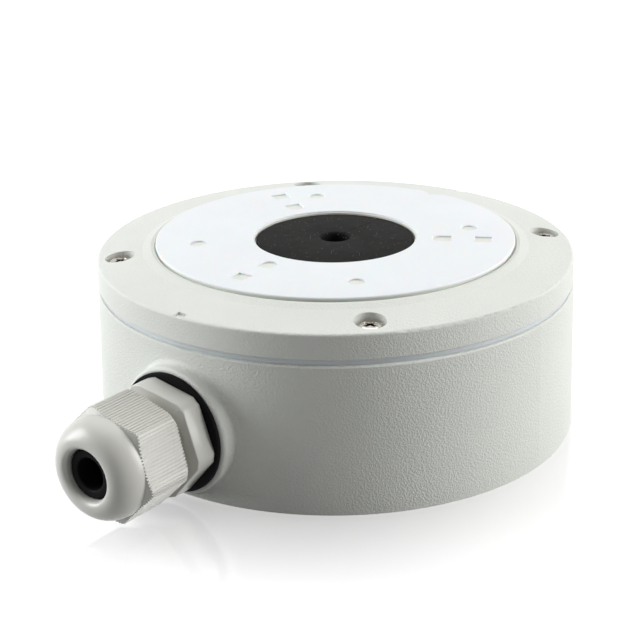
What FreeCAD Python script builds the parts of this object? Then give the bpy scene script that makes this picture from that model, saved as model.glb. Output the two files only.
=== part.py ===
import FreeCAD, Part
import math
import os
from FreeCAD import Vector

# A round die-cast camera junction box. Millimetres, +Z up, origin at the centre of the wall face.
# The cable gland leaves along -Y, and the camera stands on the white pad at the top.

# Housing
FOOT_RADIUS = 68.5
WALL_DRAFT = 1.2
RIM_HEIGHT = 41.3
WALL = 3.6
FLOOR = 4.0
FLOOR_CORNER = 2.5
RIM_ROUND = 0.6

# Lid and its gasket
GASKET_THICKNESS = 1.4
GASKET_INSET = 0.7
GASKET_LAND = 3.3
GASKET_EAR_INSET = 0.4
LID_EDGE_HEIGHT = 7.05
LID_EDGE_ROUND = 0.8
LID_SLOPE = 8.0
LID_PLATE = 3.0
LID_SKIRT = 3.2
LID_BOTTOM_ROUND = 0.4
LID_INNER_ROUND = 1.5
SEAT_RIM_WIDTH = 1.1
SEAT_RIM_LIFT = 0.8
SEAT_RIM_ROUND = 0.4
SEAT_EDGE_ROUND = 0.25
SEAT_FLARE = 2.4
SEAT_FLARE_ROUND = 1.5
SEAT_SCREW_LAND = 1.9
SEAT_DEPTH = 0.8
SPIGOT_WIDTH = 2.0
SPIGOT_DEPTH = 2.6
SPIGOT_CLEARANCE = 1.3
RIM_NOTCH_WIDTH = 3.2
RIM_NOTCH_DEPTH = 0.35
RIM_NOTCH_LENGTH = 2.4

# White sealing pad under the camera
PAD_THICKNESS = 1.8
PAD_SEAT_CLEARANCE = 0.35
PAD_LAND = 28.1
PAD_EDGE_ROUND = 0.25
PAD_NOTCH_DEPTH = 2.5
PAD_NOTCH_WIDTH = 8.5

# Camera screw holes: four round marks, three square ones and three with one round end
ROUND_MARK_INSET = 11.95
SQUARE_MARK_INSET = 8.95
ARCH_MARK_INSET = 20.95
MARK_WIDTH = 4.9
ARCH_MARK_LENGTH = 5.3
CAMERA_HOLE_RADIUS = 1.65
CAMERA_HOLE_DEPTH = 5.5
CAMERA_BOSS_WALL = 2.3
CAMERA_BOSS_END = 1.4

# Rubber grommet in the lid
GROMMET_PAD_GAP = 0.35
GROMMET_FIT = 0.05
GROMMET_LIP = 2.0
GROMMET_LIP_THICKNESS = 0.95
GROMMET_CROWN = 0.5
GROMMET_HOLE_RADIUS = 4.2
GROMMET_LOWER_LIP_THICKNESS = 1.7
GROMMET_WEB = 3.4
GROMMET_SLEEVE_WALL = 3.0
GROMMET_SLIT = 0.25
GROMMET_EDGE_ROUND = 0.35
GROMMET_HOLE_ROUND = 0.5
GROMMET_INNER_ROUND = 0.8
GROMMET_LOWER_ROUND = 0.6

# Lid screws, held captive in the lid by small rings
SCREW_INSET = 7.5
SCREW_COLUMN_RADIUS = 5.8
SCREW_HEAD_RADIUS = 3.5
SCREW_HEAD_HEIGHT = 2.4
SCREW_HEAD_DROP = 1.0
SCREW_HEAD_ROUND = 1.5
SCREW_EDGE_ROUND = 0.2
SCREW_TIP_ROUND = 0.6
SCREW_FIRST_TURN = 20.0
SCREW_TURN_STEP = 35.0
SCREW_COUNTERBORE_CLEARANCE = 0.8
SCREW_RADIUS = 2.0
SCREW_SHANK = 17.5
SCREW_HOLE_CLEARANCE = 0.3
THREAD_CLEARANCE = 0.05
SCREW_HOLE_SPARE = 3.0
RECESS_LENGTH = 4.2
RECESS_WIDTH = 0.95
RECESS_DEPTH = 1.5
RETAINER_WIDTH = 1.5
RETAINER_THICKNESS = 0.9
RETAINER_CLEARANCE = 0.3

# Side entry and its cable gland; lengths along the gland run outwards from the box's centre
GLAND_HEIGHT = 19.0
ENTRY_BOSS_STAND = 3.15
ENTRY_BOSS_MARGIN = 1.1
ENTRY_BOSS_FILLET = 1.3
ENTRY_BOSS_ROUND = 1.0
ENTRY_INNER_STAND = 4.0
ENTRY_INNER_RADIUS = 15.0
GLAND_HEX_STEP = 3.0
GLAND_THREAD_LENGTH = 11.0
GLAND_THREAD_ROUND = 0.8
GLAND_WASHER_MARGIN = 2.45
GLAND_WASHER_THICKNESS = 1.2
GLAND_HEX = 28.0
GLAND_HEX_CORNER_CUT = 0.75
GLAND_HEX_LENGTH = 6.4
GLAND_HEX_TURN = 20.0
GLAND_HEX_ROUND = 0.35
NUT_WALL = 3.4
CLAW_ROOT_LENGTH = 8.4
CLAW_LENGTH = 8.6
CLAW_ROOT_STEP = 0.4
CLAW_TAPER = 0.4
CLAW_WALL = 1.8
CLAW_TIP_ROUND = 0.6
CLAW_COUNT = 12
CLAW_SLOT = 0.9
NUT_GAP = 3.5
NUT_CORNER_LIFT = 1.5
NUT_TURN = 15.0
NUT_RIB_PITCH = 0.84
NUT_RIB_DEPTH = 0.35
NUT_RIBBED_LENGTH = 14.15
NUT_SHOULDER_LENGTH = 0.9
NUT_DOME_LENGTH = 7.3
NUT_DOME_ROUND = 5.5
NUT_DOME_INSET = 0.25
NUT_DOME_OVERLAP = 1.0
NUT_MOUTH_WALL = 7.1
NUT_MOUTH_ROUND = 1.3
NUT_MOUTH_LENGTH = 3.6
NUT_CONE_LENGTH = 4.4
NUT_THREAD_CLEARANCE = 0.3
NUT_REAR_CHAMFER = 0.4
SEAL_WALL = 3.4
SEAL_LENGTH = 16.1
SEAL_TAPER_LENGTH = 1.2
SEAL_NOSE_MARGIN = 0.7
SEAL_CLEARANCE = 0.3
SEAL_RECESS = 1.9
SEAL_EDGE_ROUND = 0.3
SEAL_MOUTH_ROUND = 0.5

# Wall side: screw holes, rear cable entry with its blanking plug, and the earth terminal
WALL_HOLE_CIRCLE = 45.0
WALL_HOLE_RADIUS = 2.6
WALL_HOLE_SEAT_RADIUS = 5.5
WALL_HOLE_SEAT_HEIGHT = 1.0
REAR_ENTRY_OFFSET = 22.0
REAR_ENTRY_RADIUS = 10.5
REAR_RECESS_RADIUS = 13.5
REAR_RECESS_DEPTH = 1.5
REAR_RIB_WIDTH = 1.6
REAR_RIB_HEIGHT = 2.0
REAR_RIB_CLEARANCE = 0.8
PLUG_FIT = 0.05
PLUG_LIP = 1.9
PLUG_LIP_GAP = 0.3
PLUG_FLANGE_THICKNESS = 1.5
PLUG_WALL = 2.0
PLUG_WEB = 1.8
PLUG_EDGE_ROUND = 0.5
PLUG_INNER_ROUND = 0.6
EARTH_X = 30.0
EARTH_Y = -14.0
EARTH_BOSS_RADIUS = 4.6
EARTH_BOSS_HEIGHT = 6.0
EARTH_WASHER_RADIUS = 4.1
EARTH_WASHER_THICKNESS = 0.6
EARTH_WASHER_TEETH = 12
EARTH_WASHER_TOOTH = 0.8
EARTH_SHANK = 6.5
EARTH_HOLE_SPARE = 1.0

# Levels and radii that follow from the sizes above
LID_BOTTOM = RIM_HEIGHT + GASKET_THICKNESS
LID_EDGE = LID_BOTTOM + LID_EDGE_HEIGHT
CAVITY_RADIUS = FOOT_RADIUS - RIM_HEIGHT * math.tan(math.radians(WALL_DRAFT)) - WALL
SCREW_CIRCLE = FOOT_RADIUS - SCREW_INSET
SCREW_COUNTERBORE_RADIUS = SCREW_HEAD_RADIUS + SCREW_COUNTERBORE_CLEARANCE
FLARE_RADIUS = SCREW_CIRCLE - SCREW_COUNTERBORE_RADIUS - SEAT_SCREW_LAND
SEAT_RIM_RADIUS = FLARE_RADIUS - SEAT_FLARE
SEAT_RADIUS = SEAT_RIM_RADIUS - SEAT_RIM_WIDTH
PAD_RADIUS = SEAT_RADIUS - PAD_SEAT_CLEARANCE
PAD_BORE_RADIUS = PAD_RADIUS - PAD_LAND
LID_BORE_RADIUS = PAD_BORE_RADIUS - GROMMET_PAD_GAP - GROMMET_LIP
ROUND_MARK_CIRCLE = PAD_RADIUS - ROUND_MARK_INSET
SQUARE_MARK_CIRCLE = PAD_RADIUS - SQUARE_MARK_INSET
ARCH_MARK_CIRCLE = PAD_RADIUS - ARCH_MARK_INSET
RETAINER_RADIUS = SCREW_RADIUS + RETAINER_WIDTH
RETAINER_RECESS_RADIUS = RETAINER_RADIUS + RETAINER_CLEARANCE
ENTRY_FACE = FOOT_RADIUS - GLAND_HEIGHT * math.tan(math.radians(WALL_DRAFT)) + ENTRY_BOSS_STAND
ENTRY_INNER_FACE = CAVITY_RADIUS - ENTRY_INNER_STAND
GLAND_THREAD_RADIUS = GLAND_HEX / 2 - GLAND_HEX_STEP
GLAND_WASHER_RADIUS = GLAND_HEX / 2 + GLAND_WASHER_MARGIN
ENTRY_BOSS_RADIUS = GLAND_WASHER_RADIUS + ENTRY_BOSS_MARGIN
HEX_START = ENTRY_FACE + GLAND_WASHER_THICKNESS
HEX_END = HEX_START + GLAND_HEX_LENGTH
CLAW_START = HEX_END + CLAW_ROOT_LENGTH
CLAW_END = CLAW_START + CLAW_LENGTH
NUT_CORNER_RADIUS = GLAND_HEX / 2 + NUT_CORNER_LIFT
NUT_THREAD_RADIUS = GLAND_HEX / 2 - NUT_WALL
NUT_MOUTH_RADIUS = GLAND_HEX / 2 - NUT_MOUTH_WALL
CLAW_ROOT_RADIUS = NUT_THREAD_RADIUS - CLAW_ROOT_STEP
CLAW_TIP_RADIUS = CLAW_ROOT_RADIUS - CLAW_TAPER
GLAND_BORE_RADIUS = CLAW_TIP_RADIUS - CLAW_WALL
SEAL_RADIUS = GLAND_BORE_RADIUS - SEAL_CLEARANCE
SEAL_BORE_RADIUS = SEAL_RADIUS - SEAL_WALL
NUT_START = HEX_END + NUT_GAP
NUT_SHOULDER = NUT_START + NUT_RIBBED_LENGTH
NUT_TIP = NUT_SHOULDER + NUT_DOME_LENGTH
SEAL_END = NUT_TIP - SEAL_RECESS
SCREW_ANGLES = [45.0, 135.0, 225.0, 315.0]
ROUND_MARK_ANGLES = [45.0, 135.0, 225.0, 315.0]
TRIPLE_MARK_ANGLES = [30.0, 150.0, 270.0]
WALL_HOLE_ANGLES = [0.0, 90.0, 180.0, 270.0]
OVERRUN = 5.0
TOUCHING = 1e-3


def outer_radius(height):
    """Radius of the drafted outer wall at a height."""
    return FOOT_RADIUS - height * math.tan(math.radians(WALL_DRAFT))


def lid_surface(radius):
    """Height of the lid's conical top at a radius outside the pad's seat."""
    return LID_EDGE + (outer_radius(LID_EDGE) - radius) * math.tan(math.radians(LID_SLOPE))


SEAT_RIM_TOP = lid_surface(FLARE_RADIUS) + SEAT_RIM_LIFT
SEAT_LEVEL = SEAT_RIM_TOP - SEAT_DEPTH
PAD_TOP = SEAT_LEVEL + PAD_THICKNESS
PLATE_UNDERSIDE = SEAT_LEVEL - LID_PLATE
SCREW_SEAT = lid_surface(SCREW_CIRCLE) - SCREW_HEAD_DROP - SCREW_HEAD_HEIGHT


def profile_face(corners):
    """Closed outline in the X-Z plane from corners (x, z, rounding radius)."""
    points = [Vector(x, 0, z) for x, z, rounding in corners]
    edges = []
    entries = []
    exits = []
    middles = []
    for index, (x, z, rounding) in enumerate(corners):
        here = points[index]
        back = (points[index - 1] - here).normalize()
        ahead = (points[(index + 1) % len(points)] - here).normalize()
        half = back.getAngle(ahead) / 2
        reach = rounding / math.tan(half)
        entries.append(here + back * reach)
        exits.append(here + ahead * reach)
        if rounding > 0:
            inward = (back + ahead).normalize()
            centre = here + inward * (rounding / math.sin(half))
            middles.append(centre - inward * rounding)
        else:
            middles.append(None)
    for index in range(len(points)):
        if middles[index] is not None:
            edges.append(Part.Arc(entries[index], middles[index], exits[index]).toShape())
        following = entries[(index + 1) % len(points)]
        if exits[index].distanceToPoint(following) > TOUCHING:
            edges.append(Part.LineSegment(exits[index], following).toShape())
    return Part.Face(Part.Wire(edges))


def turned(corners):
    """Solid of revolution about Z from a profile of (radius, height, rounding) corners."""
    return profile_face(corners).revolve(Vector(0, 0, 0), Vector(0, 0, 1), 360)


def cylinder(radius, bottom, top, x=0.0, y=0.0):
    """Upright cylinder between two heights."""
    return Part.makeCylinder(radius, top - bottom, Vector(x, y, bottom))


def tube(outer, inner, bottom, top, x=0.0, y=0.0):
    """Upright tube between two heights."""
    return cylinder(outer, bottom, top, x, y).cut(cylinder(inner, bottom, top, x, y))


def box(x_size, y_size, bottom, top, x=0.0, y=0.0):
    """Upright box centred on a place in plan."""
    corner = Vector(x - x_size / 2, y - y_size / 2, bottom)
    return Part.makeBox(x_size, y_size, top - bottom, corner)


def turn_about_z(shape, angle):
    """Copy of a shape turned about the vertical axis."""
    return shape.copy().rotated(Vector(0, 0, 0), Vector(0, 0, 1), angle)


def on_circle(radius, angle):
    """Place in plan at a radius and an angle in degrees."""
    turn = math.radians(angle)
    return radius * math.cos(turn), radius * math.sin(turn)


def edges_where(shape, test):
    """Edges of a shape whose sampled points all pass a test."""
    chosen = []
    for edge in shape.Edges:
        points = edge.discretize(9)
        if all(test(point) for point in points):
            chosen.append(edge)
    return chosen


def to_gland(shape):
    """Moves a piece built upright along +Z to the gland's axis, which points along -Y."""
    laid = shape.copy().rotated(Vector(0, 0, 0), Vector(1, 0, 0), 90)
    return laid.translated(Vector(0, 0, GLAND_HEIGHT))


def hexagon(across_flats, bottom, top, turn):
    """Upright hexagonal prism with one flat facing the given angle."""
    corner_radius = across_flats / 2 / math.cos(math.radians(30))
    corners = []
    for index in range(7):
        x, y = on_circle(corner_radius, turn + 30 + 60 * index)
        corners.append(Vector(x, y, bottom))
    return Part.Face(Part.makePolygon(corners)).extrude(Vector(0, 0, top - bottom))


def export(name, shape):
    """Writes one piece to its own file."""
    shape = shape.removeSplitter()
    shape.exportStep("parts/" + name + ".step")
    box_size = shape.optimalBoundingBox(False)
    print(name, "solids", len(shape.Solids), "valid", shape.isValid(), "volume", round(shape.Volume, 1),
          "z", round(box_size.ZMin, 2), round(box_size.ZMax, 2))


# Housing

def side_entry_blank():
    """Drafted outer body with the round entry boss blended into its wall."""
    below = -OVERRUN * 2
    above = RIM_HEIGHT + OVERRUN * 2
    body = Part.makeCone(outer_radius(below), outer_radius(above), above - below, Vector(0, 0, below))
    boss = to_gland(cylinder(ENTRY_BOSS_RADIUS, ENTRY_INNER_FACE, ENTRY_FACE))
    blank = body.fuse(boss).removeSplitter()

    def on_joint(point):
        from_axis = math.hypot(point.x, point.z - GLAND_HEIGHT)
        from_centre = math.hypot(point.x, point.y)
        on_boss = abs(from_axis - ENTRY_BOSS_RADIUS) < TOUCHING
        return on_boss and abs(from_centre - outer_radius(point.z)) < TOUCHING

    def on_face_edge(point):
        from_axis = math.hypot(point.x, point.z - GLAND_HEIGHT)
        return abs(from_axis - ENTRY_BOSS_RADIUS) < TOUCHING and abs(point.y + ENTRY_FACE) < TOUCHING

    blank = blank.makeFillet(ENTRY_BOSS_FILLET, edges_where(blank, on_joint))
    blank = blank.makeFillet(ENTRY_BOSS_ROUND, edges_where(blank, on_face_edge))
    reach = FOOT_RADIUS + ENTRY_FACE
    return blank.common(box(reach * 2, reach * 2, 0, RIM_HEIGHT))


def base_housing():
    """Cast housing with its screw columns, entry boss, wall holes and rear entry."""
    body = side_entry_blank()

    def on_rim(point):
        return abs(point.z - RIM_HEIGHT) < TOUCHING

    body = body.makeFillet(RIM_ROUND, edges_where(body, on_rim))
    cavity = turned([(0, FLOOR, 0), (CAVITY_RADIUS, FLOOR, FLOOR_CORNER),
                     (CAVITY_RADIUS, RIM_HEIGHT + OVERRUN, 0), (0, RIM_HEIGHT + OVERRUN, 0)])
    body = body.cut(cavity)
    added = [to_gland(cylinder(ENTRY_INNER_RADIUS, ENTRY_INNER_FACE, CAVITY_RADIUS + WALL / 2))]
    for angle in SCREW_ANGLES:
        x, y = on_circle(SCREW_CIRCLE, angle)
        added.append(cylinder(SCREW_COLUMN_RADIUS, FLOOR / 2, RIM_HEIGHT, x, y))
    for angle in WALL_HOLE_ANGLES:
        x, y = on_circle(WALL_HOLE_CIRCLE, angle)
        added.append(cylinder(WALL_HOLE_SEAT_RADIUS, FLOOR / 2, FLOOR + WALL_HOLE_SEAT_HEIGHT, x, y))
    added.append(cylinder(EARTH_BOSS_RADIUS, FLOOR / 2, FLOOR + EARTH_BOSS_HEIGHT, EARTH_X, EARTH_Y))
    rib_inner = REAR_ENTRY_RADIUS + PLUG_LIP + REAR_RIB_CLEARANCE
    added.append(tube(rib_inner + REAR_RIB_WIDTH, rib_inner, FLOOR / 2, FLOOR + REAR_RIB_HEIGHT,
                      0, REAR_ENTRY_OFFSET))
    body = body.multiFuse(added).removeSplitter()
    removed = [to_gland(cylinder(GLAND_THREAD_RADIUS + THREAD_CLEARANCE, ENTRY_INNER_FACE - OVERRUN,
                                 ENTRY_FACE + OVERRUN))]
    for angle in SCREW_ANGLES:
        x, y = on_circle(SCREW_CIRCLE, angle)
        hole_bottom = SCREW_SEAT - SCREW_SHANK - SCREW_HOLE_SPARE
        removed.append(cylinder(SCREW_RADIUS + THREAD_CLEARANCE, hole_bottom, RIM_HEIGHT + OVERRUN, x, y))
    for angle in WALL_HOLE_ANGLES:
        x, y = on_circle(WALL_HOLE_CIRCLE, angle)
        removed.append(cylinder(WALL_HOLE_RADIUS, -OVERRUN, FLOOR + WALL_HOLE_SEAT_HEIGHT + OVERRUN, x, y))
    removed.append(cylinder(REAR_ENTRY_RADIUS, -OVERRUN, FLOOR + OVERRUN, 0, REAR_ENTRY_OFFSET))
    removed.append(cylinder(REAR_RECESS_RADIUS, -OVERRUN, REAR_RECESS_DEPTH, 0, REAR_ENTRY_OFFSET))
    earth_hole_bottom = FLOOR + EARTH_BOSS_HEIGHT - EARTH_SHANK - EARTH_HOLE_SPARE
    removed.append(cylinder(SCREW_RADIUS + THREAD_CLEARANCE, earth_hole_bottom,
                            FLOOR + EARTH_BOSS_HEIGHT + OVERRUN, EARTH_X, EARTH_Y))
    for tool in removed:
        body = body.cut(tool)
    return body


def rear_entry_plug():
    """Rubber plug that blanks the cable entry in the housing's floor."""
    neck = REAR_ENTRY_RADIUS - PLUG_FIT
    lip = REAR_ENTRY_RADIUS + PLUG_LIP
    top = FLOOR + PLUG_FLANGE_THICKNESS
    profile = [(0, PLUG_LIP_GAP, 0), (lip, PLUG_LIP_GAP, PLUG_EDGE_ROUND), (lip, REAR_RECESS_DEPTH, 0),
               (neck, REAR_RECESS_DEPTH, 0), (neck, FLOOR, 0), (lip, FLOOR, 0), (lip, top, PLUG_EDGE_ROUND),
               (neck - PLUG_WALL, top, PLUG_EDGE_ROUND),
               (neck - PLUG_WALL, PLUG_LIP_GAP + PLUG_WEB, PLUG_INNER_ROUND),
               (0, PLUG_LIP_GAP + PLUG_WEB, 0)]
    return turned(profile).translated(Vector(0, REAR_ENTRY_OFFSET, 0))


# Screws

def pan_screw(seat, shank):
    """Cross-recessed pan-head screw on the Z axis, its head resting on the seat height."""
    top = seat + SCREW_HEAD_HEIGHT
    middle = seat + SCREW_HEAD_HEIGHT / 2
    head = turned([(0, seat, 0), (SCREW_HEAD_RADIUS, seat, SCREW_EDGE_ROUND),
                   (SCREW_HEAD_RADIUS, top, SCREW_HEAD_ROUND), (0, top, 0)])
    stem = turned([(0, seat - shank, 0), (SCREW_RADIUS, seat - shank, SCREW_TIP_ROUND),
                   (SCREW_RADIUS, middle, 0), (0, middle, 0)])
    screw = head.fuse(stem).removeSplitter()
    for long_x, long_y in ((RECESS_LENGTH, RECESS_WIDTH), (RECESS_WIDTH, RECESS_LENGTH)):
        screw = screw.cut(box(long_x, long_y, top - RECESS_DEPTH, top + OVERRUN))
    return screw


def lid_screw(index):
    """One of the four captive lid screws, each with its cross turned as it was tightened."""
    x, y = on_circle(SCREW_CIRCLE, SCREW_ANGLES[index])
    screw = turn_about_z(pan_screw(SCREW_SEAT, SCREW_SHANK), SCREW_FIRST_TURN + SCREW_TURN_STEP * index)
    return screw.translated(Vector(x, y, 0))


def screw_retainer(index):
    """Small ring that keeps a lid screw from falling out of the lid."""
    x, y = on_circle(SCREW_CIRCLE, SCREW_ANGLES[index])
    bottom = LID_BOTTOM + RETAINER_CLEARANCE
    return tube(RETAINER_RADIUS, SCREW_RADIUS, bottom, bottom + RETAINER_THICKNESS, x, y)


def earth_washer():
    """Toothed lock washer under the earth screw."""
    bottom = FLOOR + EARTH_BOSS_HEIGHT
    top = bottom + EARTH_WASHER_THICKNESS
    ring = tube(EARTH_WASHER_RADIUS, SCREW_RADIUS + THREAD_CLEARANCE, bottom, top)
    for index in range(EARTH_WASHER_TEETH):
        gap = box(EARTH_WASHER_TOOTH, EARTH_WASHER_TOOTH, bottom - OVERRUN, top + OVERRUN,
                  EARTH_WASHER_RADIUS)
        ring = ring.cut(turn_about_z(gap, 360 / EARTH_WASHER_TEETH * index))
    return ring.translated(Vector(EARTH_X, EARTH_Y, 0))


def earth_screw():
    """Screw of the earth terminal inside the housing."""
    seat = FLOOR + EARTH_BOSS_HEIGHT + EARTH_WASHER_THICKNESS
    return pan_screw(seat, EARTH_SHANK).translated(Vector(EARTH_X, EARTH_Y, 0))


# Lid

def lid_profile():
    """Section of the lid from its bore to its skirt."""
    edge_radius = outer_radius(LID_EDGE)
    bottom_radius = outer_radius(LID_BOTTOM)
    skirt_inner = bottom_radius - LID_SKIRT
    skirt_top = lid_surface(skirt_inner) - LID_PLATE
    return [(LID_BORE_RADIUS, PLATE_UNDERSIDE, 0), (LID_BORE_RADIUS, SEAT_LEVEL, 0),
            (SEAT_RADIUS, SEAT_LEVEL, 0), (SEAT_RADIUS, SEAT_RIM_TOP, SEAT_EDGE_ROUND),
            (SEAT_RIM_RADIUS, SEAT_RIM_TOP, SEAT_RIM_ROUND),
            (FLARE_RADIUS, lid_surface(FLARE_RADIUS), SEAT_FLARE_ROUND),
            (edge_radius, LID_EDGE, LID_EDGE_ROUND),
            (bottom_radius, LID_BOTTOM, LID_BOTTOM_ROUND), (skirt_inner, LID_BOTTOM, 0),
            (skirt_inner, skirt_top, LID_INNER_ROUND), (FLARE_RADIUS, PLATE_UNDERSIDE, 0)]


def camera_bosses():
    """Blind tapped bosses under the lid for the camera's screws, as boss and hole pairs."""
    places = [on_circle(ROUND_MARK_CIRCLE, angle) for angle in ROUND_MARK_ANGLES]
    for angle in TRIPLE_MARK_ANGLES:
        places.append(on_circle(SQUARE_MARK_CIRCLE, angle))
        places.append(on_circle(ARCH_MARK_CIRCLE, angle))
    bottom = SEAT_LEVEL - CAMERA_HOLE_DEPTH - CAMERA_BOSS_END
    outer = CAMERA_HOLE_RADIUS + CAMERA_BOSS_WALL
    bosses = [cylinder(outer, bottom, PLATE_UNDERSIDE + LID_PLATE / 2, x, y) for x, y in places]
    holes = [cylinder(CAMERA_HOLE_RADIUS, SEAT_LEVEL - CAMERA_HOLE_DEPTH, SEAT_LEVEL + OVERRUN, x, y)
             for x, y in places]
    return bosses, holes


def lid():
    """Cast lid with its pad seat, screw columns, spigot and camera bosses."""
    body = turned(lid_profile())
    spigot_outer = CAVITY_RADIUS - SPIGOT_CLEARANCE
    spigot_top = lid_surface(spigot_outer) - LID_PLATE / 2
    spigot = tube(spigot_outer, spigot_outer - SPIGOT_WIDTH, LID_BOTTOM - SPIGOT_DEPTH, spigot_top)
    column_reach = SCREW_COLUMN_RADIUS + SPIGOT_CLEARANCE
    below = LID_BOTTOM - SPIGOT_DEPTH - OVERRUN
    bosses, holes = camera_bosses()
    columns = []
    for angle in SCREW_ANGLES:
        x, y = on_circle(SCREW_CIRCLE, angle)
        spigot = spigot.cut(cylinder(column_reach, below, LID_EDGE + OVERRUN, x, y))
        columns.append(cylinder(SCREW_COLUMN_RADIUS, LID_BOTTOM, SCREW_SEAT + SCREW_HEAD_HEIGHT / 2, x, y))
    body = body.multiFuse([spigot] + columns + bosses).removeSplitter()
    removed = list(holes)
    for angle in SCREW_ANGLES:
        x, y = on_circle(SCREW_CIRCLE, angle)
        removed.append(cylinder(SCREW_COUNTERBORE_RADIUS, SCREW_SEAT, LID_EDGE + OVERRUN, x, y))
        removed.append(cylinder(SCREW_RADIUS + SCREW_HOLE_CLEARANCE, LID_BOTTOM - OVERRUN, LID_EDGE, x, y))
        recess_top = LID_BOTTOM + RETAINER_CLEARANCE + RETAINER_THICKNESS
        removed.append(cylinder(RETAINER_RECESS_RADIUS, LID_BOTTOM - OVERRUN, recess_top, x, y))
    edge_radius = outer_radius(LID_EDGE)
    for side in (-1, 1):
        notch_centre = side * (edge_radius + OVERRUN - RIM_NOTCH_LENGTH)
        removed.append(box(RIM_NOTCH_WIDTH, 2 * OVERRUN, LID_EDGE - RIM_NOTCH_DEPTH, LID_EDGE + OVERRUN,
                           0, notch_centre))
    for tool in removed:
        body = body.cut(tool)
    return body


def lid_gasket():
    """Flat silicone ring on the housing's rim, with an ear round each lid screw."""
    outer = outer_radius(RIM_HEIGHT) - GASKET_INSET
    ring = tube(outer, outer - GASKET_LAND, RIM_HEIGHT, LID_BOTTOM)
    ears = []
    for angle in SCREW_ANGLES:
        x, y = on_circle(SCREW_CIRCLE, angle)
        ears.append(cylinder(SCREW_COLUMN_RADIUS - GASKET_EAR_INSET, RIM_HEIGHT, LID_BOTTOM, x, y))
    ring = ring.multiFuse(ears).removeSplitter()
    for angle in SCREW_ANGLES:
        x, y = on_circle(SCREW_CIRCLE, angle)
        ring = ring.cut(cylinder(SCREW_RADIUS + SCREW_HOLE_CLEARANCE, RIM_HEIGHT - OVERRUN,
                                 LID_BOTTOM + OVERRUN, x, y))
    return ring


# Pad and grommet

def mark_cutter(kind, angle):
    """Tool for one mark in the pad, its square end outwards."""
    bottom = SEAT_LEVEL - OVERRUN
    top = PAD_TOP + OVERRUN
    if kind == "round":
        x, y = on_circle(ROUND_MARK_CIRCLE, angle)
        return cylinder(MARK_WIDTH / 2, bottom, top, x, y)
    if kind == "square":
        tool = box(MARK_WIDTH, MARK_WIDTH, bottom, top, SQUARE_MARK_CIRCLE)
        return turn_about_z(tool, angle)
    half = MARK_WIDTH / 2
    straight = ARCH_MARK_LENGTH - half
    round_end = cylinder(half, bottom, top, ARCH_MARK_CIRCLE)
    square_end = box(straight, MARK_WIDTH, bottom, top, ARCH_MARK_CIRCLE + straight / 2)
    return turn_about_z(round_end.fuse(square_end).removeSplitter(), angle)


def mounting_pad():
    """White pad that seals the camera's foot, with the marks of its screw patterns."""
    pad = turned([(PAD_BORE_RADIUS, SEAT_LEVEL, 0), (PAD_RADIUS, SEAT_LEVEL, 0),
                  (PAD_RADIUS, PAD_TOP, PAD_EDGE_ROUND), (PAD_BORE_RADIUS, PAD_TOP, PAD_EDGE_ROUND)])
    for angle in ROUND_MARK_ANGLES:
        pad = pad.cut(mark_cutter("round", angle))
    for angle in TRIPLE_MARK_ANGLES:
        pad = pad.cut(mark_cutter("square", angle))
        pad = pad.cut(mark_cutter("arch", angle))
    apex = PAD_RADIUS - PAD_NOTCH_DEPTH
    slope = PAD_NOTCH_WIDTH / 2 / PAD_NOTCH_DEPTH
    mouth = slope * (PAD_NOTCH_DEPTH + OVERRUN)
    corners = [Vector(0, apex, SEAT_LEVEL), Vector(mouth, PAD_RADIUS + OVERRUN, SEAT_LEVEL),
               Vector(-mouth, PAD_RADIUS + OVERRUN, SEAT_LEVEL), Vector(0, apex, SEAT_LEVEL)]
    notch = Part.Face(Part.makePolygon(corners)).extrude(Vector(0, 0, PAD_THICKNESS))
    return pad.cut(notch)


def cable_grommet():
    """Split rubber grommet snapped into the lid's bore, slightly crowned on top."""
    lip_radius = LID_BORE_RADIUS + GROMMET_LIP
    neck_radius = LID_BORE_RADIUS - GROMMET_FIT
    lip_top = SEAT_LEVEL + GROMMET_LIP_THICKNESS
    crown = lip_top + GROMMET_CROWN
    web_bottom = crown - GROMMET_WEB
    lower_bottom = PLATE_UNDERSIDE - GROMMET_LOWER_LIP_THICKNESS
    sleeve = neck_radius - GROMMET_SLEEVE_WALL
    profile = [(GROMMET_HOLE_RADIUS, web_bottom, 0), (sleeve, web_bottom, GROMMET_INNER_ROUND),
               (sleeve, lower_bottom, 0), (lip_radius, lower_bottom, GROMMET_LOWER_ROUND),
               (lip_radius, PLATE_UNDERSIDE, 0), (neck_radius, PLATE_UNDERSIDE, 0),
               (neck_radius, SEAT_LEVEL, 0), (lip_radius, SEAT_LEVEL, 0),
               (lip_radius, lip_top, GROMMET_EDGE_ROUND),
               (GROMMET_HOLE_RADIUS, crown, GROMMET_HOLE_ROUND)]
    grommet = turned(profile)
    reach = lip_radius + OVERRUN
    slit = box(GROMMET_SLIT, reach, lower_bottom - OVERRUN, crown + OVERRUN, 0, reach / 2)
    return grommet.cut(slit)


# Cable gland

def gland_washer():
    """Black sealing washer between the gland and the entry boss."""
    return to_gland(tube(GLAND_WASHER_RADIUS, GLAND_THREAD_RADIUS, ENTRY_FACE, HEX_START))


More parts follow.
